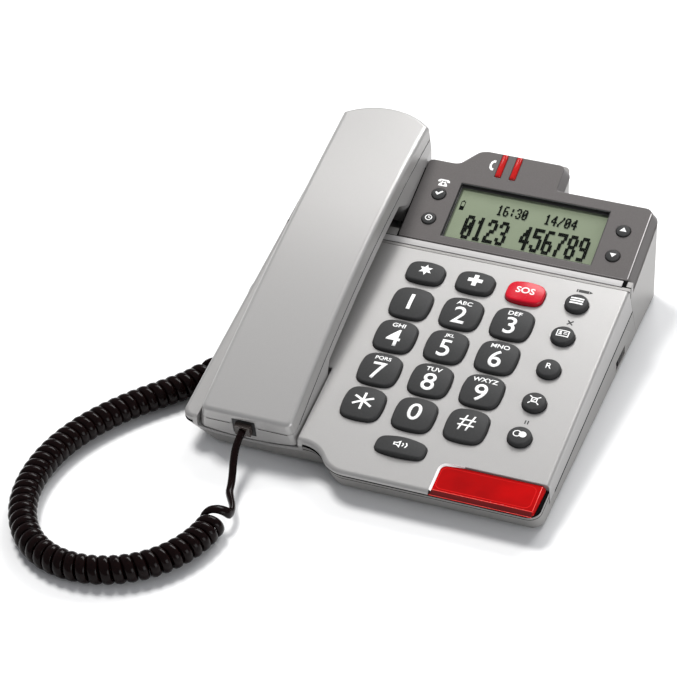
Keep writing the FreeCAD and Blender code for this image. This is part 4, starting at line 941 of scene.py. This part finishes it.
# %% Seams of the casing
def seam(name, node, axes, below, wide, planes=()):
    """A black band of painted shade round a node that starts this far below a plane, in
    millimetres.
    """
    band = bpy.data.objects.new(name, nodes[node].data.copy())
    take_up(band)
    bpy.ops.object.mode_set(mode="EDIT")
    up = (axes.to_3x3() @ Vector((0, 0, 1))).normalized()
    cuts = [(axes @ Vector((0, 0, -below * mm)), up),
            (axes @ Vector((0, 0, -(below + wide) * mm)), -up)]
    bpy.ops.mesh.select_all(action="SELECT")
    bpy.ops.mesh.remove_doubles(threshold=1e-6)
    for place, outward in cuts + [(Vector(p) * mm, Vector(n)) for p, n in planes]:
        bpy.ops.mesh.select_all(action="SELECT")
        bpy.ops.mesh.bisect(plane_co=place, plane_no=outward, clear_outer=True)
    bpy.ops.object.mode_set(mode="OBJECT")
    thicken(band, 0.03 * mm, 1)
    band.data.materials.clear()
    band.data.materials.append(seam_black)
    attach(band, "base")


# Painted shade: black bands in the casing's gaps and grooves.
parting = sloping_face(0, -107, 14, 5.8)
seam("parting_seam", "lower_shell", parting, 0.12, 1.1)
seam("skirt_seam", "lower_shell", parting, 8.2, 0.9, planes=[((84, 0, 0), (-1, 0, 0)),
                                                            ((0, -80, 0), (0, -1, 0))])
seam("lower_groove", "lower_shell", parting, 3.5, 0.55)
back_seam_face = sloping_face(0, 38.15, 0, 90)
seam("housing_seam", "rear_housing", back_seam_face, 0, 0.7)
print("seams ready")

# %% [markdown]
# The handset's two halves meet in a fine groove that follows the arch of its back, and the groove's
# shade is painted black. The groove is drawn flat, as seen from the side, and laid on the wall like
# a print. Cutting it by a plane, as on the casing, would give a straight line and not an arch.

# %% Seam of the handset
arch_half, arch_rise = 102.3, 6.0
groove_top, groove_foot = 6.85, 7.15
beside_wall = 24 * mm


def arch_height(y):
    """The rise of the handset's back at this distance from its front end, in millimetres."""
    return arch_rise * (1 - ((y - arch_half) / arch_half) ** 2)


def handset_side(turned):
    """Axes of the handset's side: x along it, y up, z out of the wall; turned is 1 or -1."""
    axes = Matrix(((0, 0, turned, 0), (turned, 0, 0, 0), (0, 1, 0, 0), (0, 0, 0, 1)))
    return handset_face @ axes @ Matrix.Translation((0, 0, beside_wall))


stations = [7 + 6 * i for i in range(32)]
# Painted shade: the handset's groove is a black band.
for side_name, turned in (("right", 1), ("left", -1)):
    upper_edge = [(turned * y, arch_height(y) - groove_top) for y in stations]
    lower_edge = [(turned * y, arch_height(y) - groove_foot) for y in reversed(stations)]
    print_on(outline("handset_seam_" + side_name, upper_edge + lower_edge), "handset_inner_shell",
             "handset", handset_side(turned), 0, 0, seam_black, step=6 * mm)
front_face = handset_face @ Matrix(((1, 0, 0, 0), (0, 0, -1, 0), (0, 1, 0, 0), (0, 0, 0, 1)))
for side_name, left, right in (("front_left", -20, -8.5), ("front_right", 5.5, 20)):
    print_on(outline("handset_seam_" + side_name, block(left, -groove_foot, right, -groove_top)),
             "handset_inner_shell", "handset", front_face, 0, 0, seam_black, step=6 * mm)
print("handset seam ready")

# %% [markdown]
# ## The alarm lamp
#
# The lens is one clear red moulding. Its front face folds down steeply and looks darker, so a dark
# red plate of painted shade lies on it; the fold, the foot and the right-hand edge catch the light,
# so bright bars of painted highlight lie on them; and the lens's own wall shows through as a
# rounded line, painted as a lighter red highlight. Glass with a lamp inside could show all this by
# itself, but slowly and with noise, so each line is a thin bar or print of its own.

# %% Lines of the lens
# Painted highlight: near-white for the chamfer beside the lens.
edge_white = finish("edge_white", (0.9, 0.89, 0.88), (0.86, 0.85, 0.84), 2600, (0.3, 0.38),
                    bump=3e-6, bump_grain=4200)
# Painted shade for the lens's front face, painted highlights for its fold, foot, side and inner
# wall.
lamp_dark = finish("lamp_dark", (0.12, 0.001, 0.001), (0.075, 0.0006, 0.0006), 60, (0.06, 0.1),
                   Specular_IOR_Level=0.5)
lamp_bright = finish("lamp_bright", (0.85, 0.075, 0.06), (0.72, 0.035, 0.03), 120, (0.08, 0.14))
lamp_line = finish("lamp_line", (0.62, 0.008, 0.008), (0.5, 0.004, 0.004), 120, (0.08, 0.14),
                   Specular_IOR_Level=0.3)
crease = deck_face @ Vector((0, -83.5 * mm, -0.9 * mm)) / mm
lip_face = sloping_face(16.5, crease.y, crease.z, 29)
# Painted shade on the front face, then painted highlights on the fold, the foot and the right-hand
# edge.
bar("lamp_lip", lip_face, (20.7, -2.6, -0.2), (68.6, -0.15, 0.07), 0.03, lamp_dark, segments=1)
bar("lamp_crease", lip_face, (21.0, -0.2, -0.2), (69.0, 0.18, 0.12), 0.1, lamp_bright)
bar("lamp_foot", lip_face, (20.7, -2.85, -0.2), (69.0, -2.6, 0.1), 0.08, lamp_bright)
bar("lamp_side_line", deck_face, (68.35, -83.0, -1.2), (68.75, -68.3, -0.8), 0.12, lamp_bright)


def rounded_block(left, low, right, high, radius, corners=6):
    """A rectangular outline with rounded corners."""
    points = []
    for x, y, start in ((right - radius, high - radius, 0), (left + radius, high - radius, 90),
                        (left + radius, low + radius, 180), (right - radius, low + radius, 270)):
        for i in range(corners + 1):
            angle = math.radians(start + 90 * i / corners)
            points.append((x + radius * math.cos(angle), y + radius * math.sin(angle)))
    return points


# Painted highlight: the lens's inner wall as a lighter red line.
print_on(outline("lamp_wall_line", rounded_block(22.0, -82.4, 66.9, -69.2, 3),
                 rounded_block(22.3, -82.0, 66.5, -69.5, 2.7)),
         "alarm_lamp_lens", "base", deck_face, 0, 0, lamp_line, step=4 * mm)
print("lens ready")

# %% [markdown]
# The deck's edge beside the lens is chamfered, and the chamfer is painted near-white as a highlight
# for the light it catches. The chamfer is drawn flat as a band, and its inner side is then pulled
# down to the lens in edit mode. A Bevel modifier on the deck would be the other way, but the CAD's
# mesh is left alone.

# %% Chamfer beside the lens
def corner_path(offset):
    """The lens's left and rear edge, moved towards the lens, in millimetres on the deck."""
    radius = 4 - offset
    arc = [(24.4 - radius * math.cos(math.radians(a)), -71.5 + radius * math.sin(math.radians(a)))
           for a in range(0, 91, 15)]
    return [(20.4 + offset, -84.6)] + arc + [(32, -67.5 - 0.1 * offset)]


chamfer_wide = 1.0
chamfer = outline("lamp_chamfer", corner_path(0) + corner_path(chamfer_wide)[::-1])
bpy.ops.object.mode_set(mode="EDIT")
bpy.ops.mesh.select_mode(type="VERT")
bpy.ops.mesh.select_all(action="DESELECT")
bpy.ops.object.mode_set(mode="OBJECT")
inner = [Vector((u, v, 0)) * mm for u, v in corner_path(chamfer_wide)]
for vertex in chamfer.data.vertices:
    vertex.select = min((vertex.co - place).length for place in inner) < 0.01 * mm
bpy.ops.object.mode_set(mode="EDIT")
bpy.ops.transform.translate(value=(0, 0, -0.85 * mm))
bpy.ops.object.mode_set(mode="OBJECT")
thicken(chamfer, 0.12 * mm, -1)
turn_outwards()
chamfer.data.transform(deck_face @ Matrix.Translation((0, 0, 0.04 * mm)))
# Painted highlight on the chamfer.
chamfer.data.materials.append(edge_white)
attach(chamfer, "base")
print("chamfer ready")

# %% [markdown]
# The two red light bars are clear mouldings with rounded ends. They take the place of the plain CAD
# bars, which stay in the model for collision. Painting the CAD bars would be quicker, but their
# sharp ends would catch no light.

# %% The light bars
for name, u in (("left", -11.0), ("right", -3.6)):
    made = bar("light_" + name, console_face, (u - 1.5, 46.4, -1.2), (u + 1.5, 60.9, 0.78), 1.0,
               light_bar_red, segments=4)
    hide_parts("light_bar_" + name)
print("light bars ready")
